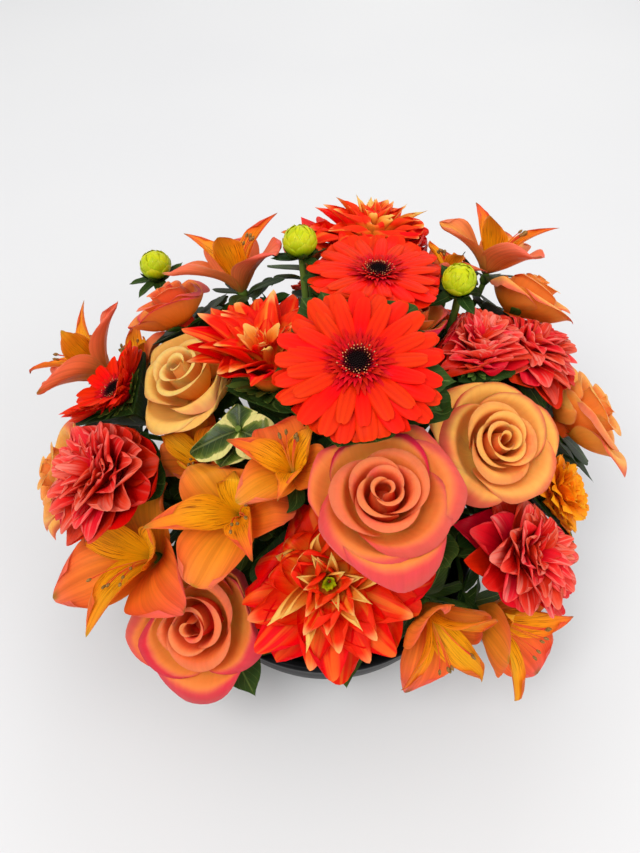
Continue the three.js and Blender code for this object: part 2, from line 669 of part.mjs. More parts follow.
function addSprig(flower) {
  const random = seededRandom(seedOf(flower));
  const planes = cells.get(flower);
  const run = stemRun(below(flower, STEM_END.sprig), flower.axis, STEM.sprig);
  const leaves = ringBlades(flower, 'sprig', random).map((blade) => bladeSolid(blade, planes));
  addNode(flower.name, joined([stemSolid(run, STEM.sprig), ...leaves]), 'variegated');
}

function addBowl() {
  const { footRadius, rimRadius, height, wall, floor, lipDrop, sides } = BOWL;
  const outline = [
    [0, 0],
    [footRadius, 0],
    [footRadius + 4, 8],
    [rimRadius - 5, height * 0.55],
    [rimRadius - 2.2, height - lipDrop],
    [rimRadius, height - lipDrop + 1],
    [rimRadius, height],
    [rimRadius - 2.2 - wall, height],
    [rimRadius - 5 - wall, height * 0.55],
    [footRadius + 1, 9],
    [footRadius - 2, floor],
    [0, floor],
  ];
  const points = outline.map(([radius, level]) => new THREE.Vector2(radius, level));
  addNode('bowl', solidOf(new THREE.LatheGeometry(points, sides).rotateX(Math.PI / 2)), 'bowl', 0.35);
}

function addFoam() {
  const { radius, shoulder, top, sides, domeRings } = FOAM;
  const { footRadius, height, floor } = BOWL;
  const outline = [
    [0, floor + SEAT_GAP],
    [footRadius - 3, floor + SEAT_GAP],
    [footRadius, 12],
    [radius, height * 0.62],
    [radius, shoulder],
  ];
  for (let ring = 1; ring <= domeRings; ring += 1) {
    const angle = ((ring / domeRings) * Math.PI) / 2;
    const reach = ring === domeRings ? 0 : radius * Math.cos(angle);
    outline.push([reach, shoulder + (top - shoulder) * Math.sin(angle)]);
  }
  const points = outline.map(([radius, level]) => new THREE.Vector2(radius, level));
  const block = solidOf(new THREE.LatheGeometry(points, sides).rotateX(Math.PI / 2));
  addNode('floral_foam', holes.reduce((rest, hole) => rest.subtract(hole), block), 'foam', 0.95);
}

BLOOMS.forEach(addBloom);
Object.entries(SPRAYS).forEach(([name, members]) => addSpray(name, members));
BUDS.forEach(addBud);
addSprig(SPRIG);
addBowl();
addFoam();

export default centerpiece;
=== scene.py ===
"""A low, round table centerpiece of cut flowers in floral foam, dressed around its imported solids.

Layout numbers are millimetres in the frame of the solids, and become metres when a mesh is made.
"""
import math
import random

import bpy
import numpy as np
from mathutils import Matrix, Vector


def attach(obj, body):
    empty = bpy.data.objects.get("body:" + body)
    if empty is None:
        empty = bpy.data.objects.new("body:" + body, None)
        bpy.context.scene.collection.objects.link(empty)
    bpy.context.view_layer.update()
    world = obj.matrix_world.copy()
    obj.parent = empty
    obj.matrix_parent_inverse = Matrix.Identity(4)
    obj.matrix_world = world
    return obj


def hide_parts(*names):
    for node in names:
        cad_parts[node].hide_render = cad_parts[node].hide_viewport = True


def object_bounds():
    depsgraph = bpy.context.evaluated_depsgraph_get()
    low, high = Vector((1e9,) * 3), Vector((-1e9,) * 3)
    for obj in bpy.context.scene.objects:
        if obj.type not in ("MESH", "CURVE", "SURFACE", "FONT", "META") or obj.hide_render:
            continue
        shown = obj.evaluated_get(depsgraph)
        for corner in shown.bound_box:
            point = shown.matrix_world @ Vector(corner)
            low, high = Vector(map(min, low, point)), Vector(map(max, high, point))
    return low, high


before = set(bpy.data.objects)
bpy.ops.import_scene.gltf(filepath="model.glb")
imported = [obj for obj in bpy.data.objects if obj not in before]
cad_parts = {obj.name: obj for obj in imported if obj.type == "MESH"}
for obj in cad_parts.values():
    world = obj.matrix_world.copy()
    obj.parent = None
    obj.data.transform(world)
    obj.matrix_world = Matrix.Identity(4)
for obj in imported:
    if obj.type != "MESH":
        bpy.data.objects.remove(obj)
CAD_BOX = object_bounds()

MM = 0.001
UP = np.array([0.0, 0.0, 1.0])
FULL_TURN = 2 * math.pi
GOLDEN_TURN = math.radians(137.5)
ANY_PHASE = 6.28

# ---- camera ----

IMAGE_HEIGHT, FOCAL_PIXELS = 853, 700
SENSOR = 36.0
CAMERA_PLACE, LOOKS_DOWN = (-0.004, -0.208, 0.418), 51.5
NEAREST_SEEN = 0.01

camera_data = bpy.data.cameras.new("camera")
camera_data.sensor_fit = "AUTO"
camera_data.sensor_width = SENSOR
camera_data.lens = SENSOR * FOCAL_PIXELS / IMAGE_HEIGHT
camera_data.clip_start = NEAREST_SEEN
camera = bpy.data.objects.new("camera", camera_data)
camera.location = CAMERA_PLACE
camera.rotation_euler = (math.radians(90 - LOOKS_DOWN), 0, 0)
bpy.context.scene.collection.objects.link(camera)
bpy.context.scene.camera = camera


# ---- ways to place points ----

def unit(vector):
    return vector / np.linalg.norm(vector)


def circle(sides):
    return np.linspace(0, FULL_TURN, sides, endpoint=False)


def grid(rows, columns):
    """Places along a petal, 0 at its root to 1, and across it, -1 to 1."""
    return np.meshgrid(np.linspace(0, 1, rows + 1), np.linspace(-1, 1, columns + 1), indexing="ij")


def curve(start, bend, end, steps):
    t = np.linspace(0, 1, steps)[:, None]
    return (1 - t) ** 2 * start + 2 * t * (1 - t) * bend + t ** 2 * end


def between_rings(rows, sides):
    """The numbers of the points in closed rings, the same moved on by one, and the faces between."""
    index = np.arange(rows * sides).reshape(rows, sides)
    around = np.roll(index, -1, axis=1)
    return index, around, np.stack([index[:-1], around[:-1], around[1:], index[1:]], -1).reshape(-1, 4)


# ---- the layout, as the solids have it ----

class Flower:
    """One bloom: the middle of its face, the way it faces, its radius, and its rank over others.

    The first word of its name is its kind. Its cell is the planes that its petals stay behind,
    and a bud, which has its scales close on, needs none."""

    cell = []

    def __init__(self, name, face, facing, radius, rank, spin, layers=0, leaves=(), fused=False):
        azimuth, elevation = np.radians(facing)
        self.name, self.kind, self.radius, self.rank = name, name.split("_")[0], radius, rank
        self.layers, self.leaves, self.fused = layers, leaves, fused
        self.face = np.array(face, float)
        level = math.cos(elevation)
        self.axis = np.array([level * math.cos(azimuth), level * math.sin(azimuth), math.sin(elevation)])
        self.side = np.array([-math.sin(azimuth), math.cos(azimuth), 0.0])
        self.other = np.cross(self.axis, self.side)
        self.spin = math.radians(spin)
        self.facing = azimuth
        self.seed = round(self.face @ (7, 131, 1009) + 500000)

    def below(self, depth):
        """A point on the bloom's axis, so many radii below its face."""
        return self.face - self.axis * depth * self.radius

    def place(self, turn, reach, across, height):
        """Points given by reach at a turn about the axis, a step across and a height, in radii."""
        x = self.radius * (reach * np.cos(turn) - across * np.sin(turn))
        y = self.radius * (reach * np.sin(turn) + across * np.cos(turn))
        z = self.radius * height
        x, y, z = (np.asarray(value)[..., None] for value in np.broadcast_arrays(x, y, z))
        return self.face + x * self.side + y * self.other + z * self.axis


def floret(*numbers):
    return Flower("floret", *numbers)


BLOOMS = [
    Flower("rose_front", (23, -49, 179), (-92, 76), 35, 10, 20, layers=4, leaves=(-70, 75)),
    Flower("rose_right", (82, -14, 166), (-66, 62), 32, 9, 75, layers=4, leaves=(-20, 40)),
    Flower("rose_left", (-77, 31, 168), (196, 66), 35, 9, 10, layers=3, leaves=(-30, 8)),
    Flower("rose_low_left", (-66, -80, 105), (-112, 50), 38, 5, 200, layers=3),
    Flower("rose_far_right", (148, 30, 142), (8, 40), 35, 5, 40, layers=2, leaves=(-34, 34)),
    Flower("rose_back_right", (113, 82, 181), (36, 48), 30, 6, 130, layers=2, fused=True),
    Flower("rose_back_left", (-88, 78, 178), (144, 52), 28, 6, 15, layers=2, fused=True),
    Flower("rose_far_left", (-157, 10, 108), (188, 30), 35, 3, 60, layers=2, leaves=(-34, 34)),
    Flower("rose_middle", (44, 48, 190), (100, 76), 17, 7, 0, layers=1, fused=True),
    Flower("rose_rear_left", (-58, 124, 120), (114, 32), 33, 3, 90, layers=2, leaves=(-34, 34), fused=True),
    Flower("rose_rear_right", (82, 120, 120), (56, 32), 33, 3, 50, layers=2, leaves=(-34, 34), fused=True),
    Flower("gerbera_top", (12, -1, 204), (-98, 74), 39, 11, 0),
    Flower("gerbera_back", (24, 60, 204), (84, 83), 36, 8, 9),
    Flower("gerbera_left", (-111, 31, 150), (175, 58), 35, 4, 4),
    Flower("gerbera_rear", (12, 138, 128), (88, 34), 37, 4, 5, fused=True),
    Flower("dahlia_front", (0, -70, 133), (-92, 56), 43, 7, 0),
    Flower("dahlia_back", (25, 110, 196), (80, 62), 41, 5, 12),
    Flower("dahlia_left", (-31, 24, 190), (140, 78), 42, 7, 6, leaves=(0,)),
    Flower("double_left", (-116, -12, 139), (202, 54), 37, 6, 0, leaves=(-42, -16)),
    Flower("double_low_right", (102, -46, 118), (-34, 48), 35, 4, 15, leaves=(2, 42)),
    Flower("double_middle", (73, 32, 184), (0, 80), 27, 6, 33, fused=True),
    Flower("double_right", (106, 46, 170), (0, 62), 31, 5, 21, leaves=(20,)),
    Flower("double_rear", (134, 76, 112), (30, 26), 33, 3, 8, leaves=(-34, 34), fused=True),
    Flower("marigold_right", (122, -13, 124), (-10, 40), 20, 4, 0, fused=True),
]

SPRAYS = {
    "spray_left": [
        floret((-144, 68, 146), (160, 42), 35, 4, 10), floret((-112, 74, 142), (132, 58), 24, 4, 50)],
    "spray_front_left": [
        floret((-104, -50, 124), (222, 56), 45, 6, 0), floret((-70, -4, 146), (205, 70), 28, 4, 30)],
    "spray_centre": [
        floret((-48, -43, 158), (236, 68), 37, 8, 40), floret((-19, -30, 176), (240, 76), 28, 8, 15)],
    "spray_back_left": [
        floret((-52, 94, 196), (118, 64), 34, 6, 5), floret((-12, 116, 184), (104, 62), 24, 4, 20)],
    "spray_back_right": [
        floret((94, 108, 194), (60, 62), 34, 7, 25), floret((64, 88, 194), (80, 72), 22, 6, 45)],
    "spray_front_right": [
        floret((98, -82, 97), (-43, 25), 39, 3, 35), floret((57, -92, 102), (-72, 14), 36, 3, 0)],
    "spray_rear": [
        floret((-112, 94, 104), (140, 24), 30, 3, 12), floret((-136, 54, 100), (162, 16), 26, 3, 40)],
}

BUDS = [
    Flower("bud_left", (-95, 103, 171), (112, 76), 9, 5, 0),
    Flower("bud_back", (-14, 80, 204), (110, 76), 9, 9, 20),
    Flower("bud_middle", (62, 53, 202), (228, 80), 8.5, 12, 40),
]

SPRIG = Flower("variegated_sprig", (-45, -6, 168), (232, 68), 24, 8, 0)

# ---- room for each bloom ----

CELL_GAP, CELL_SOFTNESS = 0.75, 3.0
BOX_SIDES, BOX_MARGIN, FLOOR_CLEARANCE = 6, 3.5, 4.0
STEEPEST_LEAN = math.radians(58)
LEAST_ROOM = 0.42
HEART_DEPTH = {
    "rose": 0.38, "gerbera": 0.12, "dahlia": 0.3, "double": 0.35, "marigold": 0.3, "floret": 0.4,
    "bud": 0.0, "variegated": 0.3,
}


def heart_of(flower):
    """The middle of the space that a bloom needs, a little below its face."""
    return flower.below(HEART_DEPTH[flower.kind])


def dividing_plane(over, under):
    """The plane between two blooms: it leans in under the rim of the one that ranks higher."""
    over_heart, under_heart = heart_of(over), heart_of(under)
    between = under_heart - over_heart
    distance = np.linalg.norm(between)
    overlap = over.radius + under.radius - distance
    drop = -(between @ over.axis)
    if overlap <= 0 or drop < 0:
        share = over.radius - (0.5 if overlap <= 0 else 0.35) * overlap
        direct = between / distance
        return direct, over_heart + direct * share
    across = between + over.axis * drop
    level = np.linalg.norm(across)
    across = across / level
    wanted = max(math.atan2(drop, level), overlap / under.radius * math.radians(80))
    tilt = min(wanted, STEEPEST_LEAN)
    normal = across * math.cos(tilt) - over.axis * math.sin(tilt)
    point = over_heart + across * over.radius
    shortfall = max(0.0, LEAST_ROOM * under.radius - (under_heart - point) @ normal)
    return normal, point - normal * shortfall


def box_planes():
    """The sides of the solids' box, which no petal passes by more than a little."""
    low, high = (np.array(list(corner)) / MM for corner in CAD_BOX)
    planes = []
    for k, way in enumerate(np.eye(3)):
        planes.append((way, high[k] + BOX_MARGIN))
        planes.append((-way, -low[k] + (BOX_MARGIN if k < 2 else -FLOOR_CLEARANCE)))
    return planes


def cell_of(flower, everyone):
    """The planes between a bloom and its neighbours, after those of the box."""
    planes = box_planes()
    for other in everyone:
        apart = np.linalg.norm(heart_of(other) - heart_of(flower))
        if other is flower or apart > 1.25 * (other.radius + flower.radius) + 6:
            continue
        is_over = flower.rank > other.rank or (
            flower.rank == other.rank and flower.face[2] >= other.face[2])
        normal, point = dividing_plane(flower, other) if is_over else dividing_plane(other, flower)
        outward = normal if is_over else -normal
        planes.append((outward, outward @ point - CELL_GAP))
    return planes


def confine(points, cell):
    """Bends points softly back inside their bloom's cell."""
    points = np.array(points)
    for _ in range(3):
        for outward, limit in cell:
            beyond = points @ outward - limit + CELL_SOFTNESS
            allowed = CELL_SOFTNESS * (1 - np.exp(-np.maximum(beyond, 0) / CELL_SOFTNESS))
            points += np.where(beyond > 0, allowed - beyond, 0)[..., None] * outward
    return points


def room_for(points, cell):
    """The share of a petal, from its root, that fits between its neighbours."""
    root = points[0].mean(axis=0)
    share = 1.0
    for outward, limit in cell[BOX_SIDES:]:
        room, need = limit - root @ outward, ((points - root) @ outward).max()
        if need > room > 0:
            share = min(share, room / need)
    return share


FLORETS = [member for members in SPRAYS.values() for member in members]
EVERYONE = [*BLOOMS, *FLORETS, *BUDS, SPRIG]
for flower in EVERYONE:
    if flower not in BUDS:
        flower.cell = cell_of(flower, EVERYONE)

# ---- meshes ----

SHARP_FROM = math.radians(70)


class Shape:
    """A mesh in the making. Each point carries its place on its petal and the petal's own tone."""

    def __init__(self):
        self.points, self.quads, self.petal, self.tone, self.kinds = [], [], [], [], []
        self.count = 0

    def add(self, points, quads, petal, tone, kind=0):
        self.points.append(points.reshape(-1, 3))
        self.quads.append(np.asarray(quads, int) + self.count)
        self.petal.append(petal.reshape(-1, 2))
        self.tone.append(np.broadcast_to(np.array(tone, float), (len(self.petal[-1]), 2)))
        self.kinds.append(np.zeros(len(quads), int) + kind)
        self.count += len(self.points[-1])

    def sheet(self, points, thick, tone, kind=0, back=None):
        """A closed thin shell round a grid of points, with its rim drawn out to an edge."""
        rows, columns = points.shape[0] - 1, points.shape[1] - 1
        lift = np.cross(np.gradient(points, axis=1), np.gradient(points, axis=0))
        size = np.linalg.norm(lift, axis=-1, keepdims=True)
        lift = lift / np.maximum(size, 1e-9)
        v, u = grid(rows, columns)
        body = (thick / 2) * np.minimum(1, 4 * (1 - np.abs(u))) * np.minimum(1, 5 * (1 - v))
        inside = np.s_[1:-1, 1:-1]
        top = points.copy()
        top[inside] += lift[inside] * body[inside][..., None]
        under = points[inside] - lift[inside] * body[inside][..., None]
        index = np.arange((rows + 1) * (columns + 1)).reshape(rows + 1, columns + 1)
        below = index.copy()
        below[inside] = index.size + np.arange(under.shape[0] * under.shape[1]).reshape(under.shape[:2])

        def faces(at):
            corners = (at[:-1, :-1], at[:-1, 1:], at[1:, 1:], at[1:, :-1])
            return np.stack(corners, axis=-1).reshape(-1, 4)

        spot = np.stack([(u + 1) / 2, v], axis=-1)
        kinds = np.repeat([kind, kind if back is None else back], rows * columns)
        self.add(
            np.concatenate([top.reshape(-1, 3), under.reshape(-1, 3)]),
            np.concatenate([faces(index), faces(below)[:, ::-1]]),
            np.concatenate([spot.reshape(-1, 2), spot[inside].reshape(-1, 2)]),
            tone, kinds)

    def tube(self, path, radii, tone, kind=0, sides=12):
        """A round stalk along a path, closed at both ends."""
        path = np.asarray(path, float)
        radii = np.broadcast_to(radii, len(path))
        ways = np.gradient(path, axis=0)
        ways /= np.linalg.norm(ways, axis=1, keepdims=True)
        side = unit(np.cross(ways[0], (0.31, 0.95, 0.1)))
        rings, spots = [], []
        turn = circle(sides)
        for i, way in enumerate(ways):
            side = unit(side - way * (side @ way))
            other = np.cross(way, side)
            ring = np.cos(turn)[:, None] * side + np.sin(turn)[:, None] * other
            rings.append(path[i] + radii[i] * ring)
            spots.append(np.stack([turn / FULL_TURN, np.full(sides, i / (len(path) - 1))], -1))
        ends = [path[0], path[-1]]
        points = np.concatenate([np.concatenate(rings), ends])
        spot = np.concatenate([np.concatenate(spots), [[0.5, 0], [0.5, 1]]])
        index, around, quads = between_rings(len(path), sides)
        first, last = len(points) - 2, len(points) - 1
        caps = [(around[0, k], index[0, k], first, first) for k in range(sides)]
        caps += [(index[-1, k], around[-1, k], last, last) for k in range(sides)]
        self.add(points, np.concatenate([quads, caps]), spot, tone, kind)

    def lathe(self, flower, outline, tone, sides=32):
        """A solid of revolution about a bloom's axis; its outline is in radii of the face."""
        outline = np.array(outline, float)
        self.revolve(flower.place(circle(sides), outline[:, :1], 0.0, outline[:, 1:]), tone)

    def revolve(self, points, tone):
        """Closed rings of points, joined one to the next."""
        rows, sides = points.shape[:2]
        quads = between_rings(rows, sides)[2]
        v, u = np.meshgrid(np.linspace(0, 1, rows), np.linspace(0, 1, sides), indexing="ij")
        self.add(points, quads, np.stack([u, v], -1), tone)

    def finish(self, name, materials):
        points = np.concatenate(self.points) * MM
        kinds = np.concatenate(self.kinds)
        faces = [tuple(dict.fromkeys(face)) for face in np.concatenate(self.quads).tolist()]
        whole = [i for i, face in enumerate(faces) if len(face) >= 3]
        mesh = bpy.data.meshes.new(name)
        mesh.from_pydata(points.tolist(), [], [faces[i] for i in whole])
        corner = np.zeros(len(mesh.loops), int)
        mesh.loops.foreach_get("vertex_index", corner)
        for layer, values in (("petal", self.petal), ("tone", self.tone)):
            spots = np.concatenate(values)[corner]
            mesh.uv_layers.new(name=layer).data.foreach_set("uv", spots.ravel())
        mesh.polygons.foreach_set("material_index", kinds[whole])
        mesh.polygons.foreach_set("use_smooth", np.ones(len(whole), bool))
        for material in materials:
            mesh.materials.append(material)
        mesh.update()
        mesh.set_sharp_from_angle(angle=SHARP_FROM)
        piece = bpy.data.objects.new(name, mesh)
        bpy.context.scene.collection.objects.link(piece)
        return piece


def dress(shape, name, node, slot):
    """Makes a piece of a shape: it rides on the one body and stands for a CAD node."""
    piece = shape.finish(name, MATERIALS[slot])
    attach(piece, "root")
    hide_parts(node)


# ---- petals ----

# How much larger than the solids' plain petals a kind's fine ones are cut. Their cells hold them apart.
GROWTH = {"gerbera": 1.0, "dahlia": 1.1, "double": 1.12, "marigold": 1.4, "floret": 1.16, "rose": 1.1}


class Cut:
    """How a kind's petal is cut and formed. Its angles are radians, and thick is in millimetres."""

    rows, columns, thick = 12, 8, 0.5
    belly, root, tip, rounding, point, notch = 0.6, 0.4, 0.3, 0.16, 0.0, 0.0
    roll, curl, fold, sway = 0.6, 0.0, 0.0, 0.05
    ridge, ridges, wave, waves = 0.0, 3, 0.0, 2.0

    def __init__(self, **ways):
        vars(self).update(ways)


def width_along(cut, v):
    rising = cut.root + (1 - cut.root) * np.sin(math.pi / 2 * np.minimum(v / cut.belly, 1))
    past = np.maximum(v - cut.belly, 0) / (1 - cut.belly)
    falling = np.sqrt(1 - past ** 2 * (1 - cut.tip ** 2))
    return np.where(v < cut.belly, rising, falling)


def strap(flower, cut, turn, numbers, draw):
    """A petal that leaves the middle at one slope and ends at another, rolled across its width.

    Its numbers are: root reach and height, rise at start and end in degrees, length and width."""
    root_reach, root_height, first, last, length, width = numbers
    v, u = grid(cut.rows, cut.columns)
    side = np.abs(u)
    reached = v * (1 - cut.rounding * side ** 2.4) + cut.point * (1 - side) ** 1.5 * v ** 5
    reached = reached - cut.notch * np.exp(-(u / 0.22) ** 2) * v ** 8
    start, bend = math.radians(first), math.radians(last - first)
    slope = start + bend * reached
    half = 0.5 * width * width_along(cut, v)
    roll = cut.roll + cut.curl * v ** 3
    roll = np.where(np.abs(roll) < 0.05, 0.05, roll)
    across = half * np.sin(roll * u) / roll
    lift = half * (1 - np.cos(roll * u)) / roll + cut.fold * half * side
    phase = draw.uniform(0, ANY_PHASE)
    ripple = np.sin(ANY_PHASE * cut.waves * v + phase + 1.3 * np.sign(u)) * side ** 2 * v
    lift = lift + cut.wave * width * ripple
    ridges = np.cos(cut.ridges * math.pi * u) * np.sin(math.pi * np.minimum(v, 0.96))
    lift = lift + cut.ridge * width * ridges
    run = length * (np.sin(slope) - math.sin(start)) / bend
    climb = length * (math.cos(start) - np.cos(slope)) / bend
    reach = root_reach + run - lift * np.sin(slope)
    height = root_height + climb + lift * np.cos(slope)
    swing = cut.sway * draw.uniform(-1, 1)
    twist = 1.6 * cut.sway * draw.uniform(-1, 1)
    return flower.place(turn + swing * v ** 2, reach, across, height + twist * across * v)


# Blooms that their neighbours crowd, how far their petals stand up, and the least share they keep.
CROWDED = ("gerbera_left", "dahlia_left")
STANDING_UP, SHORTEST = 65, 0.75


def fitted(flower, cut, turn, numbers, draw):
    """A petal's points. In a crowded bloom, one without room stands up and is shorter."""
    before = draw.getstate()
    points = strap(flower, cut, turn, numbers, draw)
    share = room_for(points, flower.cell)
    if flower.name in CROWDED and share < 1:
        up = STANDING_UP * (1 - max(share, 0.4))
        draw.setstate(before)
        reach, height, start, end, length, width = numbers
        points = strap(flower, cut, turn, (reach, height, start + up, end + up, length, width), draw)
        foot = points[0].mean(axis=0)
        points = foot + (points - foot) * max(SHORTEST, room_for(points, flower.cell))
    return points


def rings_between(outer, inner, counts):
    """Rings of petals from an outer one to an inner one. Each is (count, share, numbers)."""
    outer, inner = np.array(outer, float), np.array(inner, float)
    last = len(counts) - 1
    return [(count, i / last, outer + (inner - outer) * (i / last)) for i, count in enumerate(counts)]


SPIKE = Cut(
    rows=14, thick=0.45, belly=0.4, root=0.5, tip=0.12, roll=1.5, curl=0.6, rounding=0.1, point=0.12,
    sway=0.3, wave=0.02)
SPIKE_TONE = 0.7


def add_rings(shape, flower, rings, cuts, draw, kind=0, loose=7.0, spikes=0.0):
    """Rings of petals. The cuts are one for all rings, or a function that gives it for a ring's share.

    Some petals of an inner ring may be spikes: narrow, rolled in, and marked by a high tone."""
    for level, (count, share, (reach, height, start, end, length, width)) in enumerate(rings):
        cut = cuts(share) if callable(cuts) else cuts
        for i in range(count):
            turn = flower.spin + (i + 0.5 * (level % 2) + 0.17 * level) / count * FULL_TURN
            turn += 0.35 / count * draw.uniform(-1, 1)
            tilt = loose * draw.uniform(-0.5, 0.5)
            stretch = GROWTH.get(flower.kind, 1.0) * draw.uniform(0.94, 1.02)
            broad, form, own = width * stretch * draw.uniform(0.95, 1.05), cut, draw.random()
            if spikes:
                is_spike = draw.random() < spikes * min(1, 2 * share)
                own = SPIKE_TONE + (1 - SPIKE_TONE) * own if is_spike else 0.9 * SPIKE_TONE * own
                if is_spike:
                    broad, form, tilt = 0.55 * broad, SPIKE, tilt + 7
            numbers = (reach, height, start + tilt, end + tilt, length * stretch, broad)
            points = confine(fitted(flower, form, turn, numbers, draw), flower.cell)
            shape.sheet(points, cut.thick, (own, share), kind)


def rose_petal(flower, out, half, turn, draw):
    """A rose petal: it wraps round the middle, then flares to a broad rim that rolls outward."""
    v, u = grid(16, 18)
    side = np.abs(u)
    raised = v * (1 - (0.2 + 0.1 * out) * side ** 2.4)
    raised = raised + draw.uniform(0.02, 0.1) * out * (1 - side) ** 2 * v ** 6
    flare = draw.uniform(-0.06, 0.06) * out
    reach_at = (0.09, 0.18 + 0.5 * out, 0.05 + (0.68 + flare) * out, 0.012 + 0.975 * out ** 0.93)
    height_at = (-0.86 + 0.3 * (1 - out), -0.78 + 0.2 * (1 - out), -0.16 - 0.08 * out, -0.34 * out ** 1.9)
    left = 1 - raised
    weights = (left ** 3, 3 * raised * left ** 2, 3 * raised ** 2 * left, raised ** 3)
    reach = sum(w * r for w, r in zip(weights, reach_at))
    height = sum(w * h for w, h in zip(weights, height_at))
    lip = out * np.maximum(0, (raised - 0.7) / 0.3) ** 2 * (1 + 1.5 * side ** 2)
    hem = max(0, 1 - 1.2 * out) * np.maximum(0, (raised - 0.84) / 0.16) ** 2
    wave = np.sin(2.6 * u + draw.uniform(0, ANY_PHASE))
    wave = wave + 0.6 * np.sin(5.3 * u + draw.uniform(0, ANY_PHASE))
    ripple = 0.018 * (0.25 + out) * wave * v ** 4
    spiral = 1 + (0.08 + 0.16 * (1 - out) ** 2) * u
    reach = reach * spiral * draw.uniform(0.94, 1.01) + 0.06 * lip + 0.05 * hem
    height = height - 0.15 * lip - 0.04 * hem + ripple + 0.045 * out * draw.uniform(-1, 1)
    height = height - 0.05 * out * side ** 2 * v ** 3
    opening = 0.42 + 0.58 * np.sin(math.pi / 2 * np.minimum(1, v * 1.6))
    closing = 1 - 0.3 * out * (np.maximum(0, v - 0.62) / 0.38) ** 2
    angle = u * math.radians(half) * opening * closing
    return flower.place(turn + angle, reach * GROWTH["rose"], 0.0, height)


def add_rose(shape, flower, draw):
    """A tight spiral of narrow rims in the middle, then a step out to broad open petals."""
    heart = np.linspace(0.035, 0.5, 2 + 2 * flower.layers)
    outer = np.linspace(0.72, 1.0, 3 + flower.layers)
    for i, out in enumerate(np.concatenate([heart, outer])):
        half = (128 - 62 * out ** 0.6) * draw.uniform(0.9, 1.12)
        turn = flower.spin + i * GOLDEN_TURN + draw.uniform(-0.14, 0.14)
        points = confine(rose_petal(flower, out, half, turn, draw), flower.cell)
        shape.sheet(points, 0.6, (draw.random(), 1 - out), back=1)


def dahlia_cut(share):
    return Cut(
        rows=14, belly=0.64 - 0.1 * share, root=0.34, tip=0.6 - 0.34 * share, roll=0.5 + 0.6 * share,
        curl=0.2 + share, rounding=0.24, point=0.02 + 0.09 * share, ridge=0.025, ridges=2,
        wave=0.04 + 0.05 * share, waves=1.2, sway=0.12 + 0.3 * share)


def open_dahlia_cut(share):
    return Cut(
        rows=16, columns=10, belly=0.62, root=0.3, tip=0.5, roll=0.5 + 0.3 * share, curl=0.3, rounding=0.2,
        point=0.08, ridge=0.03, wave=0.03, sway=0.08)


def double_cut(share):
    return Cut(
        belly=0.66, root=0.34, tip=0.6 - 0.2 * share, roll=0.6 + 0.3 * share, curl=0.2 + 0.3 * share,
        rounding=0.24, point=0.01, ridge=0.02, wave=0.03, waves=1.2, sway=0.14 + 0.2 * share)


CUTS = {
    "gerbera": Cut(
        rows=14, columns=10, tip=0.74, roll=-0.45, rounding=0.1, notch=0.025, ridge=0.03, sway=0.04),
    "dahlia": dahlia_cut, "open_dahlia": open_dahlia_cut, "double": double_cut,
    "marigold": Cut(
        rows=8, belly=0.75, tip=0.85, roll=-0.4, rounding=0.1, notch=0.08, wave=0.14, waves=1.3, ridge=0.03,
        ridges=2, sway=0.12),
}
SHORT_RAY = Cut(rows=6, columns=4, thick=0.4, root=0.5, tip=0.5, roll=0.5, rounding=0.2)
BRACT = Cut(rows=8, columns=6, thick=0.45, belly=0.4, root=0.7, tip=0.1, roll=0.5, rounding=0.05, point=0.05,
            sway=0.08)
OUTER_TEPAL = Cut(
    rows=16, columns=10, thick=0.55, belly=0.66, root=0.1, tip=0.45, curl=0.3, rounding=0.2, point=0.045,
    ridge=0.016, ridges=2, wave=0.05, waves=1.4, sway=0.12)
INNER_TEPAL = Cut(
    rows=16, belly=0.64, root=0.1, tip=0.34, roll=0.8, curl=0.2, rounding=0.24, point=0.045, wave=0.05,
    waves=1.6, sway=0.16)
LEAF = Cut(
    rows=16, belly=0.42, root=0.16, tip=0.06, roll=0.3, rounding=0.05, point=0.04, fold=0.2, wave=0.03,
    waves=2.4, sway=0.12)
ROUND_LEAF = Cut(
    rows=18, columns=12, belly=0.46, root=0.16, tip=0.2, roll=0.35, rounding=0.1, point=0.06, fold=0.16,
    wave=0.04, waves=1.6, sway=0.14)

HEADS = {
    "gerbera": [
        (22, 0.0, (0.08, -0.2, 12, -12, 0.94, 0.28)),
        (21, 0.1, (0.08, -0.15, 14, -8, 0.89, 0.27)),
        (17, 0.2, (0.08, -0.12, 16, -4, 0.74, 0.22)),
    ],
    "dahlia": rings_between(
        (0.2, -0.48, 22, -16, 0.9, 0.56), (0.05, -0.24, 74, 56, 0.42, 0.3), (9, 9, 9, 9, 8, 7, 6)),
    "open_dahlia": rings_between(
        (0.18, -0.46, 22, -14, 1.0, 0.5), (0.07, -0.26, 60, 30, 0.6, 0.32), (9, 9, 8, 7, 5)),
    "double": rings_between(
        (0.2, -0.52, 16, -10, 0.9, 0.62), (0.04, -0.26, 82, 40, 0.56, 0.26), (8, 9, 10, 11, 10, 9, 7)),
    "marigold": rings_between(
        (0.26, -0.46, 10, -12, 0.78, 0.46), (0.05, -0.26, 82, 64, 0.34, 0.3), (9, 9, 9, 8, 7, 6)),
}
OPEN_DAHLIAS = ("dahlia_left",)
SHORT_RAYS = [
    (38, 0.8, (0.15, -0.1, 24, -6, 0.3, 0.062)),
    (34, 0.9, (0.14, -0.09, 38, 8, 0.22, 0.056)),
    (30, 1.0, (0.13, -0.08, 56, 30, 0.14, 0.045)),
]

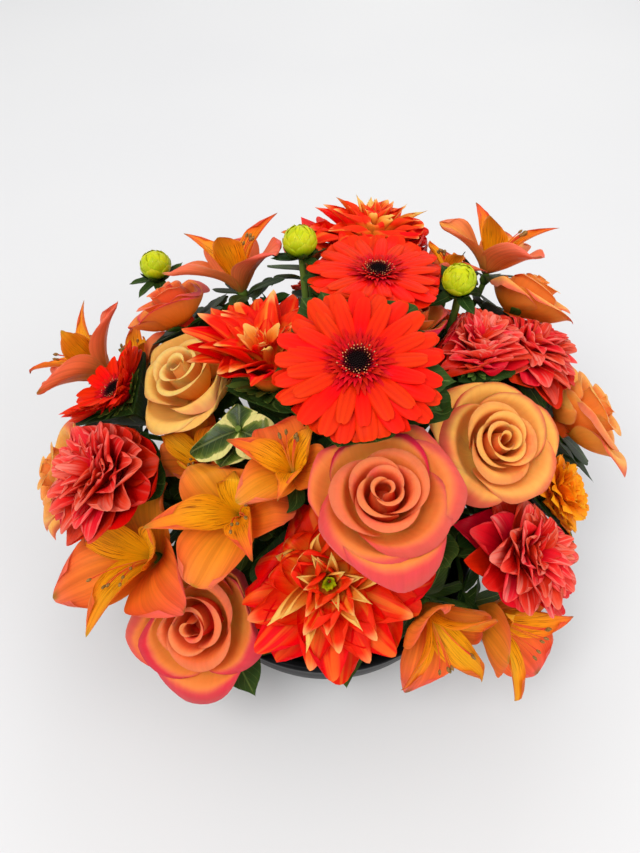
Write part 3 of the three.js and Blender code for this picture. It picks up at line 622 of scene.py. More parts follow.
# The outline of each kind's solid middle, from its foot up, in radii of its face.
HUBS = {
    "rose": [(0, -0.95), (0.18, -0.9), (0.2, -0.6), (0.1, -0.48), (0, -0.46)],
    "gerbera": [(0, -0.27), (0.18, -0.26), (0.24, -0.17), (0.2, -0.12), (0, -0.1)],
    "dahlia": [(0, -0.62), (0.2, -0.6), (0.26, -0.42), (0.12, -0.22), (0, -0.2)],
    "double": [(0, -0.66), (0.2, -0.64), (0.26, -0.46), (0.14, -0.22), (0, -0.2)],
    "marigold": [(0, -0.62), (0.22, -0.6), (0.32, -0.42), (0.14, -0.22), (0, -0.2)],
}


def add_head(shape, flower, draw):
    """The solid middle and the petals of any kind of bloom."""
    shape.lathe(flower, HUBS[flower.kind], (0.5, 0.9))
    if flower.kind == "rose":
        add_rose(shape, flower, draw)
        return
    form = "open_dahlia" if flower.name in OPEN_DAHLIAS else flower.kind
    loose = {"gerbera": 6, "double": 12}.get(form, 16)
    spikes = {"dahlia": 0.4, "open_dahlia": 0.1}.get(form, 0.0)
    add_rings(shape, flower, HEADS[form], CUTS[form], draw, loose=loose, spikes=spikes)
    if form == "dahlia":
        add_rings(shape, flower, [(7, 1.0, (0.02, -0.2, 84, 74, 0.24, 0.09))], BRACT, draw, kind=1)
    if form == "open_dahlia":
        heart = rings_between((0.08, -0.24, 74, 50, 0.36, 0.22), (0.02, -0.2, 86, 78, 0.28, 0.12), (7, 6))
        add_rings(shape, flower, heart, dahlia_cut, draw)
    if form == "gerbera":
        add_rings(shape, flower, SHORT_RAYS, SHORT_RAY, draw, loose=16)


# The cushion of a gerbera's eye, and the form of the small closed florets on it, in radii.
CUSHION = [(0, -0.085), (0.16, -0.085), (0.16, -0.06), (0.1, -0.03), (0, -0.03)]
EYE_FLORETS = 170
FLORET_LEVELS = np.array([(1.0, -0.5), (1.05, 0.0), (0.8, 0.6), (0.95, 0.8), (0.6, 1.0), (0.0, 1.05)])


def add_eye(shape, flower, draw):
    """The dark disc of a gerbera: a low cushion set with small closed florets in a spiral."""
    shape.lathe(flower, CUSHION, (0.5, 0.0))
    ring = circle(6)
    wide, level = FLORET_LEVELS[:, :1], FLORET_LEVELS[:, 1:]
    for i in range(EYE_FLORETS):
        far = ((i + 0.5) / EYE_FLORETS) ** 0.5
        turn = i * GOLDEN_TURN
        crown = -0.02 - 0.05 * max(0, far - 0.55)
        size = 0.0075 + 0.003 * far
        tall = (0.014 + 0.03 * max(0, far - 0.45)) * draw.uniform(0.8, 1.3)
        lean = 1.3 * max(0, far - 0.5) * tall
        reach = 0.185 * far + lean * np.maximum(level, 0) * 2
        x = reach * math.cos(turn) + size * wide * np.cos(ring)
        y = reach * math.sin(turn) + size * wide * np.sin(ring)
        z = crown + tall * level + 0 * ring
        points = flower.face + flower.radius * (
            x[..., None] * flower.side + y[..., None] * flower.other + z[..., None] * flower.axis)
        shape.revolve(points, (draw.random(), far))


# ---- alstroemeria florets ----

SALMON_FROM = 60
STAMENS, ANTHER_RADII = 6, [0.2, 0.62, 0.75, 0.75, 0.55, 0.1]


def add_floret(shape, flower, draw):
    """Three broad tepals, three narrow streaked ones and six stamens. The far ones are salmon."""
    tone = 0.25 if flower.face[1] > SALMON_FROM else 0.0
    outer = [(3, tone, (0.03, -0.92, 64, -2, 1.12, 0.82))]
    inner = [(3, 1.0, (0.03, -0.82, 76, 22, 1.12, 0.44))]
    add_rings(shape, flower, outer, OUTER_TEPAL, draw)
    flower.spin += math.pi / 3
    add_rings(shape, flower, inner, INNER_TEPAL, draw)
    flower.spin -= math.pi / 3
    lean = draw.uniform(0, ANY_PHASE)
    s = np.linspace(0, 1, 9)
    for i in range(STAMENS):
        turn = lean + draw.uniform(-0.9, 0.9)
        reach = 0.03 + (0.1 + 0.05 * draw.random()) * s + (0.12 + 0.1 * draw.random()) * s ** 2.5
        height = -0.8 + (0.72 + 0.1 * draw.random()) * s - 0.06 * s ** 4
        path = confine(flower.place(turn, reach, 0.02 * (i - 2.5) * s, height), flower.cell)
        shape.tube(path, 0.38 - 0.14 * s, (draw.random(), 0.5), 1, sides=6)
        end, way = path[-1], unit(path[-1] - path[-2])
        anther = end + way * np.linspace(-0.3, 2.6, 6)[:, None]
        shape.tube(anther, ANTHER_RADII, (draw.random(), 0.5), 2, sides=8)


# ---- stems and leaves ----

FOAM_RADIUS, FOAM_SHOULDER, FOAM_TOP, FOAM_HUB, HOLE_DEPTH = 74.0, 70.0, 114.0, 42.0, 15.0
SEAT_GAP = 0.3
STEM_BLOOM, STEM_SPRAY, STEM_BUD, STEM_SPRIG = 2.2, 1.9, 1.8, 1.6
LEAF_LENGTH, COLLAR_LENGTH, STANDS_HIGH = 42, 30, 135


def is_in_foam(point):
    reach = math.hypot(point[0], point[1])
    if point[2] <= FOAM_SHOULDER:
        return reach < FOAM_RADIUS
    rise = (point[2] - FOAM_SHOULDER) / (FOAM_TOP - FOAM_SHOULDER)
    return rise ** 2 + (reach / FOAM_RADIUS) ** 2 < 1


def foam_entry(target):
    """The point where a line from the foam's hub to a target leaves the foam."""
    hub = np.array([0, 0, FOAM_HUB])
    inside, outside = 0.0, 1.0
    for _ in range(16):
        middle = (inside + outside) / 2
        if is_in_foam(hub + (target - hub) * middle):
            inside = middle
        else:
            outside = middle
    return hub + (target - hub) * inside


def stem_run(base, axis):
    """The stem's way from its cut end in the foam out to the bloom's base."""
    entry = foam_entry(base)
    inward = unit(np.array([0, 0, FOAM_HUB]) - entry)
    reach = np.linalg.norm(base - entry)
    cut = entry + inward * HOLE_DEPTH
    outside = entry - inward * min(8, 0.4 * reach)
    elbow = base - axis * 0.45 * reach
    return np.concatenate([[cut, (cut + outside) / 2], curve(outside, elbow, base, 14)])


def add_stem(shape, run, radius, draw):
    """A stem that swells a little along its way and has one knot."""
    s = np.linspace(0, 1, len(run))
    swell = 1 + 0.06 * np.sin(9 * s + draw.uniform(0, 6))
    swell = swell + 0.12 * np.exp(-((s - draw.uniform(0.4, 0.7)) / 0.03) ** 2)
    shape.tube(run, radius * swell, (draw.random(), 0.0))


class Root:
    """A place where leaves root, with the same way of placing points as a bloom."""

    name, kind = "leaf", "leaf"

    def __init__(self, face, radius, spin, axis, cell):
        self.face, self.radius, self.spin, self.axis, self.cell = face, radius, spin, axis, cell
        self.side = unit(np.cross((0, 1, 0.001) if abs(axis[1]) < 0.95 else (1, 0, 0), axis))
        self.other = np.cross(axis, self.side)

    place = Flower.place


def add_leaf(shape, at, size, turn, form, draw, cell=(), axis=UP):
    """A leaf that roots at a point. Its form is its rise at start and end, its length and its width."""
    add_rings(shape, Root(at, size, turn, axis, cell), [(1, 1.0, (0.02, 0.02, *form))], LEAF, draw)


def add_leaves(shape, run, flower, draw):
    """The stem's low leaves, smaller ones up along it, a loose collar under the head, and longer
    leaves below it where the bloom stands high."""
    axis = flower.axis
    for turn in flower.leaves:
        add_leaf(shape, run[2], LEAF_LENGTH, flower.facing + math.radians(turn), (24, -34, 1.0, 0.5), draw)
    foot = flower.below(-HUBS[flower.kind][0][1])
    cell = flower.cell + [(axis, axis @ foot + 0.1 * flower.radius)]
    collar = max(COLLAR_LENGTH, flower.radius)
    for i in range(7):
        size, turn = 34 + 10 * draw.random(), flower.facing + draw.uniform(-0.7, 0.7) + 2.4 * i
        add_leaf(shape, run[min(3 + i, 11)], size, turn, (34, -14, 1.0, 0.56), draw, cell)
    for i in range(9):
        at = foot - axis * (3 + 1.2 * i)
        size, turn = collar * draw.uniform(1.0, 1.25), GOLDEN_TURN * i + draw.uniform(-0.3, 0.3)
        add_leaf(shape, at, size, turn, (26, 4, 1.0, 0.6), draw, cell, axis)
    for i in range(6 if flower.face[2] > STANDS_HIGH else 0):
        at = foot - axis * (10 + 2.5 * i)
        size, turn = 1.45 * collar * draw.uniform(0.9, 1.1), GOLDEN_TURN * (i + 0.5) + draw.uniform(-0.3, 0.3)
        add_leaf(shape, at, size, turn, (20, -16, 1.0, 0.5), draw, cell, axis)


def add_calyx(shape, flower, draw):
    """The green parts under a bloom's head: a rose's sepals or the cup of bracts of the others."""
    foot = HUBS[flower.kind][0][1]
    outline = [(0, -0.14), (0.07, -0.1), (0.16, -0.05), (0.21, 0.03), (0, 0.04)]
    rings = [(12, 0.5, (0.14, foot - 0.03, 20, 2, 0.34, 0.12)), (12, 0.5, (0.16, foot, 30, 6, 0.38, 0.12))]
    if flower.kind == "rose":
        outline = [(0, -0.26), (0.075, -0.2), (0.13, -0.1), (0.15, 0), (0.2, 0.05), (0, 0.05)]
        rings = [(5, 0.5, (0.16, foot, -4, -40, 0.62, 0.2))]
    outline = [(reach, foot + rise) for reach, rise in outline]
    shape.lathe(flower, outline, (draw.random(), 0.5), sides=20)
    add_rings(shape, flower, rings, BRACT, draw)


def add_greenery(shape, flower, draw):
    if flower.fused:
        base = flower.below(-0.72 * HUBS[flower.kind][0][1])
    else:
        base = flower.below(-HUBS[flower.kind][0][1] + SEAT_GAP / flower.radius)
    run = stem_run(base, flower.axis)
    add_stem(shape, run, STEM_BLOOM, draw)
    add_leaves(shape, run, flower, draw)
    add_calyx(shape, flower, draw)


# ---- materials ----

WHITE = (1, 1, 1, 1)
# How light spreads inside a petal: the share of its depth in red, green and blue, and that depth.
GLOW_COLOURS, GLOW_DEPTH = (1.0, 0.35, 0.2), 0.0025
# How strongly a material's height shows.
RELIEF = 0.6


def as_colour(value):
    """A colour's linear numbers; one written as #rrggbb is turned into them."""
    if not isinstance(value, str):
        return value
    parts = [int(value[i:i + 2], 16) / 255 for i in (1, 3, 5)]
    return (*(part / 12.92 if part <= 0.04045 else ((part + 0.055) / 1.055) ** 2.4 for part in parts), 1.0)


def halfway(first, second):
    """The colour between two."""
    return tuple((a + b) / 2 for a, b in zip(as_colour(first), as_colour(second)))


def add_node(tree, kind, inputs, output=0, **settings):
    """Adds a shader node with its inputs, which are values of the tree or plain ones."""
    node = tree.nodes.new("ShaderNode" + kind)
    for name, setting in settings.items():
        setattr(node, name, setting)
    for slot, value in inputs.items():
        if isinstance(value, Value):
            tree.links.new(value.socket, node.inputs[slot])
        else:
            node.inputs[slot].default_value = as_colour(value)
    return Value(tree, node.outputs[output])


class Value:
    """A number, a colour or a place that a material works out. Its methods add the nodes for that."""

    def __init__(self, tree, socket):
        self.tree, self.socket = tree, socket

    def math(self, operation, *others):
        return add_node(self.tree, "Math", dict(enumerate((self, *others))), operation=operation)

    def __add__(self, other):
        return self.math("ADD", other)

    def __sub__(self, other):
        return self.math("SUBTRACT", other)

    def __rsub__(self, other):
        return add_node(self.tree, "Math", {0: other, 1: self}, operation="SUBTRACT")

    def __mul__(self, other):
        return self.math("MULTIPLY", other)

    def __pow__(self, other):
        return self.math("POWER", other)

    def gate(self, low, high):
        """0 below low, 1 above high, smooth between."""
        return add_node(self.tree, "MapRange", {0: self, 1: low, 2: high}, interpolation_type="SMOOTHSTEP")

    def ramp(self, stops):
        """Colours along the value, from a dictionary of places and their colours."""
        colour = add_node(self.tree, "ValToRGB", {0: self})
        elements = colour.socket.node.color_ramp.elements
        while len(elements) < len(stops):
            elements.new(0.5)
        for element, (place, stop) in zip(elements, stops.items()):
            element.position, element.color = place, as_colour(stop)
        return colour

    def mixed(self, other, factor, blend="MIX"):
        inputs = {0: factor, 6: self, 7: other}
        return add_node(self.tree, "Mix", inputs, 2, data_type="RGBA", blend_type=blend)

    def times(self, other):
        return self.mixed(other, 1.0, "MULTIPLY")

    def noise(self, scale, detail=3.0):
        return add_node(self.tree, "TexNoise", {"Vector": self, "Scale": scale, "Detail": detail})


class Material:
    """A material with the places that each mesh carries: across and along a petal, the petal's own
    tone, and the share of its layer, which is 0 outside."""

    def __init__(self, name, roughness, specular=0.08, subsurface=0.0, coat=0.0):
        self.material = bpy.data.materials.new(name)
        self.material.use_nodes = True
        self.tree = self.material.node_tree
        self.shader = self.tree.nodes["Principled BSDF"].inputs
        settings = {
            "Roughness": roughness, "Specular IOR Level": specular, "Coat Weight": coat,
            "Subsurface Weight": subsurface, "Subsurface Radius": GLOW_COLOURS,
            "Subsurface Scale": GLOW_DEPTH,
        }
        for setting, value in settings.items():
            self.shader[setting].default_value = value
        self.across, self.along = (self.layer("petal", k) for k in (0, 1))
        self.own, self.share = (self.layer("tone", k) for k in (0, 1))
        self.side = (self.across * 2.0 - 1.0).math("ABSOLUTE")

    def layer(self, name, k):
        return add_node(self.tree, "SeparateXYZ", {0: add_node(self.tree, "UVMap", {}, uv_map=name)}, k)

    def in_space(self):
        return add_node(self.tree, "TexCoord", {}, "Object")

    def pattern(self, across, along, detail=3.0):
        """Noise on the petal, stretched, with each petal its own part of it."""
        place = {0: self.across * across, 1: self.along * along, 2: self.own * 37.0}
        return add_node(self.tree, "CombineXYZ", place).noise(1.0, detail)

    def middle(self, narrow, wide):
        """1 along the petal's middle line, 0 from a share of its half width on."""
        return 1.0 - self.side.gate(narrow, wide)

    def tip(self, start, reach):
        return self.along.gate(start, 1.0) * self.middle(0.1, reach)

    def side_veins(self, slant, count, wide):
        veins = ((self.side * slant + self.along) * count).math("PINGPONG", 0.5)
        return 1.0 - veins.gate(0.0, wide)

    def tint(self, colour, hue=0.02, value=0.12):
        """Shifts each petal's hue and brightness a little, each by its own tone."""
        hue_at, value_at = self.own * hue + (0.5 - hue / 2), self.own * -value + (1 + value / 2)
        return add_node(self.tree, "HueSaturation", {"Hue": hue_at, "Value": value_at, "Color": colour})

    def finish(self, colour, height=None, depth=0.0):
        self.tree.links.new(colour.socket, self.shader["Base Color"])
        if height is not None:
            bump = add_node(self.tree, "Bump", {"Strength": RELIEF, "Distance": depth, "Height": height})
            self.tree.links.new(bump.socket, self.shader["Normal"])
        return self.material

    def veined(self, colour, dark, across, along, depth):
        """Finishes a petal with soft blotches and fine lines along it, which are also its relief."""
        lines = self.pattern(across, along, 2.0)
        colour = colour.times(lines.ramp({0.3: (dark, dark, dark, 1), 0.65: WHITE}))
        colour = colour.times(self.pattern(2.5, 2.5).ramp({0.3: (0.9, 0.88, 0.88, 1), 0.7: WHITE}))
        return self.finish(colour, lines, depth)


def rose_material(name, foot, body, rim, deep_and_shade, light, rim_from):
    """Outer petals run from foot to body with a rim colour and lighten at their rims, partly a painted
    highlight; inner ones run from deep up to a light edge: the heart's deeper colour with painted shade down
    in the cup, and partly a painted highlight at the rims.
    """
    petal = Material(name, 0.55, subsurface=0.4)
    # Painted light: outer petals lighten at their rims and inner ones at their edges, partly painted
    # highlight; inner ones are darkest at their roots, the heart's deeper colour with painted shade in the
    # cup.
    outer = petal.along.ramp({0.2: foot, 0.68: body, 1.0: halfway(body, light)})
    inner = petal.along.ramp({0.3: deep_and_shade, 0.75: halfway(deep_and_shade, light), 1.0: light})
    colour = outer.mixed(inner, petal.share.gate(0.35, 0.8))
    patch = petal.pattern(2.4, 1.6)
    colour = colour.mixed(rim, patch.gate(0.55, 0.8) * petal.along.gate(0.45, 0.9) * 0.45)
    flank = petal.side ** 12.0 * petal.along.gate(0.5, 0.95)
    edge = (patch * 0.2 + petal.along).gate(rim_from + 0.14, rim_from + 0.3).math("MAXIMUM", flank)
    strength = edge * (petal.own * 0.5 + 0.5) * (1.0 - petal.share.gate(0.2, 0.75))
    return petal.veined(petal.tint(colour.mixed(rim, strength), 0.012, 0.08), 0.93, 26.0, 1.5, 0.00012)


def gerbera_material():
    petal = Material("gerbera_petal", 0.5, subsurface=0.1)
    rays = petal.along.ramp({0.0: "#c80600", 0.45: "#f41a00", 1.0: "#fa3005"})
    short = petal.along.ramp({0.0: "#640004", 0.5: "#c80206", 1.0: "#ec0e08"})
    colour = petal.tint(rays.mixed(short, petal.share.gate(0.3, 0.6)), 0.006, 0.16)
    # Painted shade: each ray is darker in its two grooves and along its edges, where it meets the next ray.
    groove_shade = (petal.across * (6 * math.pi)).math("COSINE") * 0.5 + 0.5
    colour = colour.times(groove_shade.ramp({0.0: WHITE, 1.0: (0.86, 0.78, 0.78, 1)}))
    return petal.veined(colour, 0.88, 26.0, 0.9, 0.0002)


def eye_material():
    disc = Material("gerbera_eye", 0.6)
    body = disc.share.ramp({0.0: "#140808", 0.5: "#180508", 0.72: "#5c060e", 1.0: "#960a14"})
    pollen = disc.along.gate(0.6, 0.8) * disc.own.gate(0.5, 0.55) * disc.share.gate(0.55, 0.7)
    colour = disc.tint(body.mixed("#f0a06e", pollen * 0.8), 0.02, 0.2)
    return disc.finish(colour, disc.in_space().noise(3000.0, 2.0), 0.0002)


def dahlia_material():
    petal = Material("dahlia_petal", 0.5, subsurface=0.1)
    outer = petal.along.ramp({0.0: "#faaa28", 0.2: "#f66010", 0.45: "#f02200", 1.0: "#ea1a00"})
    inner = petal.along.ramp({0.0: "#fcc850", 0.35: "#fa9228", 0.6: "#f22805", 1.0: "#f43a0c"})
    colour = outer.mixed(inner, petal.share.gate(0.1, 0.7))
    flame = petal.middle(0.1, 0.75) * petal.pattern(6.0, 0.8, 2.0).gate(0.45, 0.62)
    colour = colour.mixed("#fc962c", flame * (petal.share * 0.6 + 0.25))
    pale = petal.tip(0.86, 0.7) * petal.share.gate(0.1, 0.6)
    colour = colour.mixed("#ffdc82", pale * 0.6)
    spike = petal.along.ramp({0.0: "#fc9628", 0.35: "#f95412", 0.65: "#fb9030", 1.0: "#fec868"})
    colour = colour.mixed(spike, petal.own.gate(SPIKE_TONE - 0.05, SPIKE_TONE))
    return petal.veined(petal.tint(colour, 0.008, 0.14), 0.88, 22.0, 1.0, 0.0002)


def double_material():
    petal = Material("double_petal", 0.42, specular=0.14, subsurface=0.12)
    outer = petal.along.ramp({0.0: "#9c0000", 0.5: "#ce0800", 1.0: "#e21604"})
    inner = petal.along.ramp({0.0: "#be0004", 0.5: "#ea1412", 0.85: "#f43428", 1.0: "#f9604e"})
    # Painted highlight: pale pink satin streaks along the middle of the inner petals.
    satin_highlight = petal.pattern(9.0, 0.7, 2.0).gate(0.48, 0.66) * petal.along.gate(0.4, 0.8)
    inner = inner.mixed("#fc8c7c", satin_highlight * 0.75)
    colour = outer.mixed(inner, petal.share.gate(0.06, 0.36))
    return petal.veined(petal.tint(colour, 0.012, 0.14), 0.86, 22.0, 1.0, 0.0002)


def marigold_material():
    petal = Material("marigold_petal", 0.55, subsurface=0.1)
    colour = petal.along.ramp({0.0: "#e85a04", 0.5: "#fc8608", 1.0: "#ffa418"})
    return petal.veined(petal.tint(colour, 0.02, 0.14), 0.88, 14.0, 1.5, 0.0002)


def tepal_material():
    """Outer tepals are orange, or salmon by their share; inner ones are yellow with dark streaks."""
    tepal = Material("alstroemeria_tepal", 0.48, subsurface=0.12)
    outer = tepal.along.ramp(
        {0.0: "#968228", 0.14: "#f0781a", 0.5: "#f88424", 0.8: "#f57032", 1.0: "#f2684c"})
    inner = tepal.along.ramp(
        {0.0: "#c8a01e", 0.15: "#fcb60e", 0.6: "#fb9e12", 0.85: "#f67a22", 1.0: "#e6542c"})
    salmon = tepal.along.ramp({0.0: "#aa8c3c", 0.2: "#f68c3c", 0.6: "#f9884e", 1.0: "#f67054"})
    outer = outer.mixed(salmon, tepal.share.gate(0.1, 0.2))
    streak = tepal.pattern(60.0, 4.0, 1.0).gate(0.58, 0.64) * tepal.along.gate(0.16, 0.34)
    inner = inner.mixed("#781a0a", streak * (0.75 - tepal.along.gate(0.6, 0.82)))
    outer = outer.mixed("#d65418", tepal.middle(0.02, 0.2) * 0.4)
    colour = outer.mixed(inner, tepal.share.gate(0.4, 0.6))
    colour = colour.mixed("#705c1e", tepal.tip(0.9, 0.3) * 0.8)
    colour = colour.mixed("#fcba1e", tepal.middle(0.1, 0.8) * 0.45 * tepal.own.gate(0.2, 0.9))
    return tepal.veined(tepal.tint(colour, 0.02, 0.12), 0.78, 26.0, 0.7, 0.0003)


def filament_material():
    thread = Material("filament", 0.45, subsurface=0.1)
    colour = thread.along.ramp({0.0: "#f0be46", 0.6: "#ee7832", 1.0: "#d63c28"})
    return thread.finish(thread.tint(colour), thread.in_space().noise(1500.0), 0.0001)


def anther_material():
    anther = Material("anther", 0.8)
    grain = anther.in_space().noise(2600.0, 2.0)
    colour = grain.ramp({0.35: "#684a22", 0.7: "#b08c50"})
    return anther.finish(anther.tint(colour, 0.02, 0.3), grain, 0.0003)


def green_material():
    """Stems at a low share of the layer, leaves with ribs at a high one."""
    green = Material("green_stem_and_leaf", 0.5, subsurface=0.06)
    stem = green.along.ramp({0.0: "#405a22", 0.7: "#54702c", 1.0: "#688036"})
    leaf = green.along.ramp({0.0: "#465c26", 0.5: "#263e16", 1.0: "#324a1a"})
    ribs = green.middle(0.01, 0.07).math("MAXIMUM", green.side_veins(-0.35, 9.0, 0.07) * 0.45)
    leaf = leaf.mixed("#68803e", ribs * 0.7)
    colour = green.tint(stem.mixed(leaf, green.share.gate(0.7, 0.9)), 0.03, 0.3)
    cloud = green.in_space().noise(160.0).ramp({0.3: (0.75, 0.78, 0.7, 1), 0.7: (1.08, 1.05, 1, 1)})
    return green.finish(colour.times(cloud), green.pattern(14.0, 4.0) - ribs, 0.0002)


def variegated_material():
    leaf = Material("variegated_leaf", 0.4, specular=0.2, subsurface=0.08, coat=0.06)
    where = leaf.pattern(3.5, 5.0) * 0.7 + leaf.side
    body = where.ramp({0.45: "#26380c", 0.75: "#405414", 0.95: "#6c7a2c"})
    colour = body.mixed("#ded480", where.gate(1.0, 1.1))
    ribs = leaf.middle(0.01, 0.08).math("MAXIMUM", leaf.side_veins(-0.3, 8.0, 0.06))
    colour = colour.mixed("#96a05a", ribs * 0.3)
    return leaf.finish(leaf.tint(colour, 0.02, 0.2), ribs, 0.0002)


def bud_material():
    scale = Material("bud_scale", 0.4, subsurface=0.15, coat=0.05)
    colour = scale.along.ramp({0.0: "#2c540c", 0.4: "#608c0e", 0.75: "#b0c60e", 1.0: "#e2de32"})
    colour = colour.mixed("#ccd016", scale.share.gate(0.2, 1.0))
    return scale.veined(scale.tint(colour, 0.03, 0.14), 0.86, 14.0, 1.2, 0.0002)


def foam_material():
    block = Material("floral_foam", 0.95)
    space = block.in_space()
    cells = add_node(block.tree, "TexVoronoi", {"Vector": space, "Scale": 900.0}, "Distance")
    colour = space.noise(60.0).ramp({0.3: "#12200e", 0.7: "#263e1a"})
    # Painted shade: each pore is darker at its middle, as shade down in the hole.
    pore_shade = cells.ramp({0.0: (0.45, 0.45, 0.45, 1), 0.5: WHITE})
    return block.finish(colour.times(pore_shade), cells, 0.0006)


def bowl_material():
    shell = Material("bowl_plastic", 0.3, specular=0.05)
    space = shell.in_space()
    marks = space.noise(45.0, 4.0)
    rough = add_node(shell.tree, "MapRange", {0: marks, 3: 0.24, 4: 0.42})
    shell.tree.links.new(rough.socket, shell.shader["Roughness"])
    colour = marks.ramp({0.3: "#0e0e10", 0.75: "#1a1a1c"})
    return shell.finish(colour, space.noise(1400.0), 0.00008)


def floor_material():
    floor = Material("floor", 0.8)
    soft = floor.in_space().noise(1.5)
    return floor.finish(soft.ramp({0.3: (0.68, 0.68, 0.69, 1), 0.7: (0.72, 0.72, 0.72, 1)}))


# Each rose finish: the colours foot, body, rim, deep and light, and how far up the petal its rim begins,
# for the petals' faces and for their backs. Deep is the heart's colour with painted shade in the cup,
# and light is partly a painted highlight on the rims.
ROSE_FINISHES = {
    "rose_coral": (
        ("#fb7412", "#fd843a", "#de044c", "#ee2a0c", "#fc7c46", 0.76),
        ("#fabe50", "#fd8e42", "#de044c", "#f4541e", "#fc8250", 0.7)),
    "rose_peach": (
        ("#fa7c16", "#fc9a3e", "#ee323a", "#f2560e", "#fda650", 0.82),
        ("#fbc85a", "#fca850", "#f0363e", "#f47422", "#fdb05a", 0.78)),
    "rose_cream": (
        ("#fd9426", "#ffb44e", "#fa7050", "#fc8624", "#ffd072", 0.86),
        ("#feca60", "#ffbc58", "#fa7050", "#fc9432", "#ffd278", 0.84)),
}
GREEN = green_material()
BUD = bud_material()
MATERIALS = {
    "gerbera": [gerbera_material()], "dahlia": [dahlia_material(), BUD], "double": [double_material()],
    "marigold": [marigold_material()], "gerbera_eye": [eye_material()], "greenery": [GREEN], "bud": [BUD],
    "alstroemeria": [tepal_material(), filament_material(), anther_material()],
    "variegated": [variegated_material()], "foam": [foam_material()], "bowl": [bowl_material()],
}
for slot, (face, back) in ROSE_FINISHES.items():
    MATERIALS[slot] = [rose_material(slot, *face), rose_material(slot + "_back", *back)]

# ---- the arrangement ----

CORAL_ROSES = ("rose_front", "rose_low_left", "rose_back_left", "rose_middle", "rose_rear_right")
CREAM_ROSES = ("rose_left",)


def slot_of(flower):
    """A bloom's material slot is its kind, or for a rose its finish."""
    if flower.kind != "rose":
        return flower.kind
    if flower.name in CREAM_ROSES:
        return "rose_cream"
    return "rose_coral" if flower.name in CORAL_ROSES else "rose_peach"


for flower in BLOOMS:
    draw = random.Random(flower.seed)
    petals, green = Shape(), Shape()
    add_head(petals, flower, draw)
    add_greenery(green, flower, draw)
    head, stem = ("", "") if flower.fused else ("_petals", "_stem")
    dress(petals, flower.name + "_bloom", flower.name + head, slot_of(flower))
    dress(green, flower.name + "_greenery", flower.name + stem, "greenery")
    if flower.kind == "gerbera":
        eye = Shape()
        add_eye(eye, flower, draw)
        dress(eye, flower.name + "_disc", flower.name + "_eye", "gerbera_eye")

FLORET_CUP = [(0, -1.0), (0.05, -0.99), (0.085, -0.93), (0.08, -0.86), (0.03, -0.8), (0, -0.8)]

for name, members in SPRAYS.items():
    draw = random.Random(members[0].seed)
    tepals, stalks = Shape(), Shape()
    bases = [member.below(1.02) for member in members]
    meeting = (bases[0] + bases[1]) / 2
    entry = foam_entry(meeting)
    fork = meeting + (entry - meeting) * 0.45
    run = stem_run(fork, unit(fork - entry))
    add_stem(stalks, run, STEM_SPRAY, draw)
    for member, base in zip(members, bases):
        bend = base - member.axis * 0.5 * np.linalg.norm(base - fork)
        path = curve(fork + (entry - fork) * 0.08, bend, member.below(0.86), 12)
        add_stem(stalks, path, STEM_SPRAY * 0.8, draw)
        stalks.lathe(member, FLORET_CUP, (draw.random(), 0.5), sides=16)
        add_floret(tepals, member, draw)
    for i in range(4):
        turn = members[0].facing + 1.9 * i + draw.uniform(-0.4, 0.4)
        add_leaf(stalks, run[4 + 3 * i], 34, turn, (30, -24, 1.0, 0.34), draw, members[0].cell)
    for member in members:
        cell = member.cell + [(member.axis, member.axis @ member.below(0.8))]
        for i in range(7):
            at, size = member.below(1.02 + 0.05 * i), 30 * draw.uniform(0.9, 1.2)
            add_leaf(stalks, at, size, GOLDEN_TURN * i, (30, -6, 1.0, 0.36), draw, cell, member.axis)
    dress(tepals, name + "_tepals", name, "alstroemeria")
    dress(stalks, name + "_stalks", name, "greenery")

# Rings of scales on a bud: how many, the polar angle that their tips reach, and their radius.
BUD_SCALES = [(5, 2.95, 0.85), (6, 2.62, 0.88), (6, 2.2, 0.91), (6, 1.75, 0.94)]
BUD_BRACTS = [(6, 1.0, (0.12, -1.0, 2, 66, 1.2, 0.66))]


def bud_ball(shape, flower, draw):
    """A closed bud: a ball wrapped in rings of scales."""
    polar = np.linspace(0, math.pi, 18)[:, None]
    shape.revolve(flower.place(circle(40), 0.8 * np.sin(polar), 0.0, -0.8 * np.cos(polar)), (0.5, 1.0))
    v, u = grid(12, 8)
    half = 0.82 * np.sqrt(np.maximum(1 - v ** 3, 0)) + 0.06
    for level, (count, top, size) in enumerate(BUD_SCALES):
        radius = size + 0.035 * v ** 4 - 0.05 * np.abs(u) ** 3
        for i in range(count):
            turn = flower.spin + (i + 0.37 * level) / count * FULL_TURN + draw.uniform(-0.1, 0.1)
            polar = 0.3 + (top - 0.3) * v * (1 - 0.14 * np.abs(u) ** 2.5) * draw.uniform(0.94, 1.03)
            height = -0.98 * radius * np.cos(polar)
            points = flower.place(turn + half * u, radius * np.sin(polar), 0.0, height)
            shape.sheet(points, 0.35, (draw.random(), 1 - level / len(BUD_SCALES)))


for flower in BUDS:
    draw = random.Random(flower.seed)
    scales, green = Shape(), Shape()
    bud_ball(scales, flower, draw)
    add_stem(green, stem_run(flower.below(SEAT_GAP / flower.radius + 0.86), flower.axis), STEM_BUD, draw)
    add_rings(green, flower, BUD_BRACTS, BRACT, draw)
    for turn in (2.2, 3.0, 3.9, 5.4, 0.7):
        turn, form = turn + draw.uniform(-0.2, 0.2), (-4, draw.uniform(-30, 40), 1.9, 0.8)
        add_leaf(green, flower.below(1.04), flower.radius, turn, form, draw, axis=flower.axis)
    dress(scales, flower.name + "_scales", flower.name + "_head", "bud")
    dress(green, flower.name + "_greenery", flower.name + "_stem", "greenery")

SPRIG_RINGS = [(3, 0.0, (0.04, -0.5, 20, -8, 1.15, 1.02)), (2, 1.0, (0.04, -0.75, 30, 10, 1.1, 0.8))]

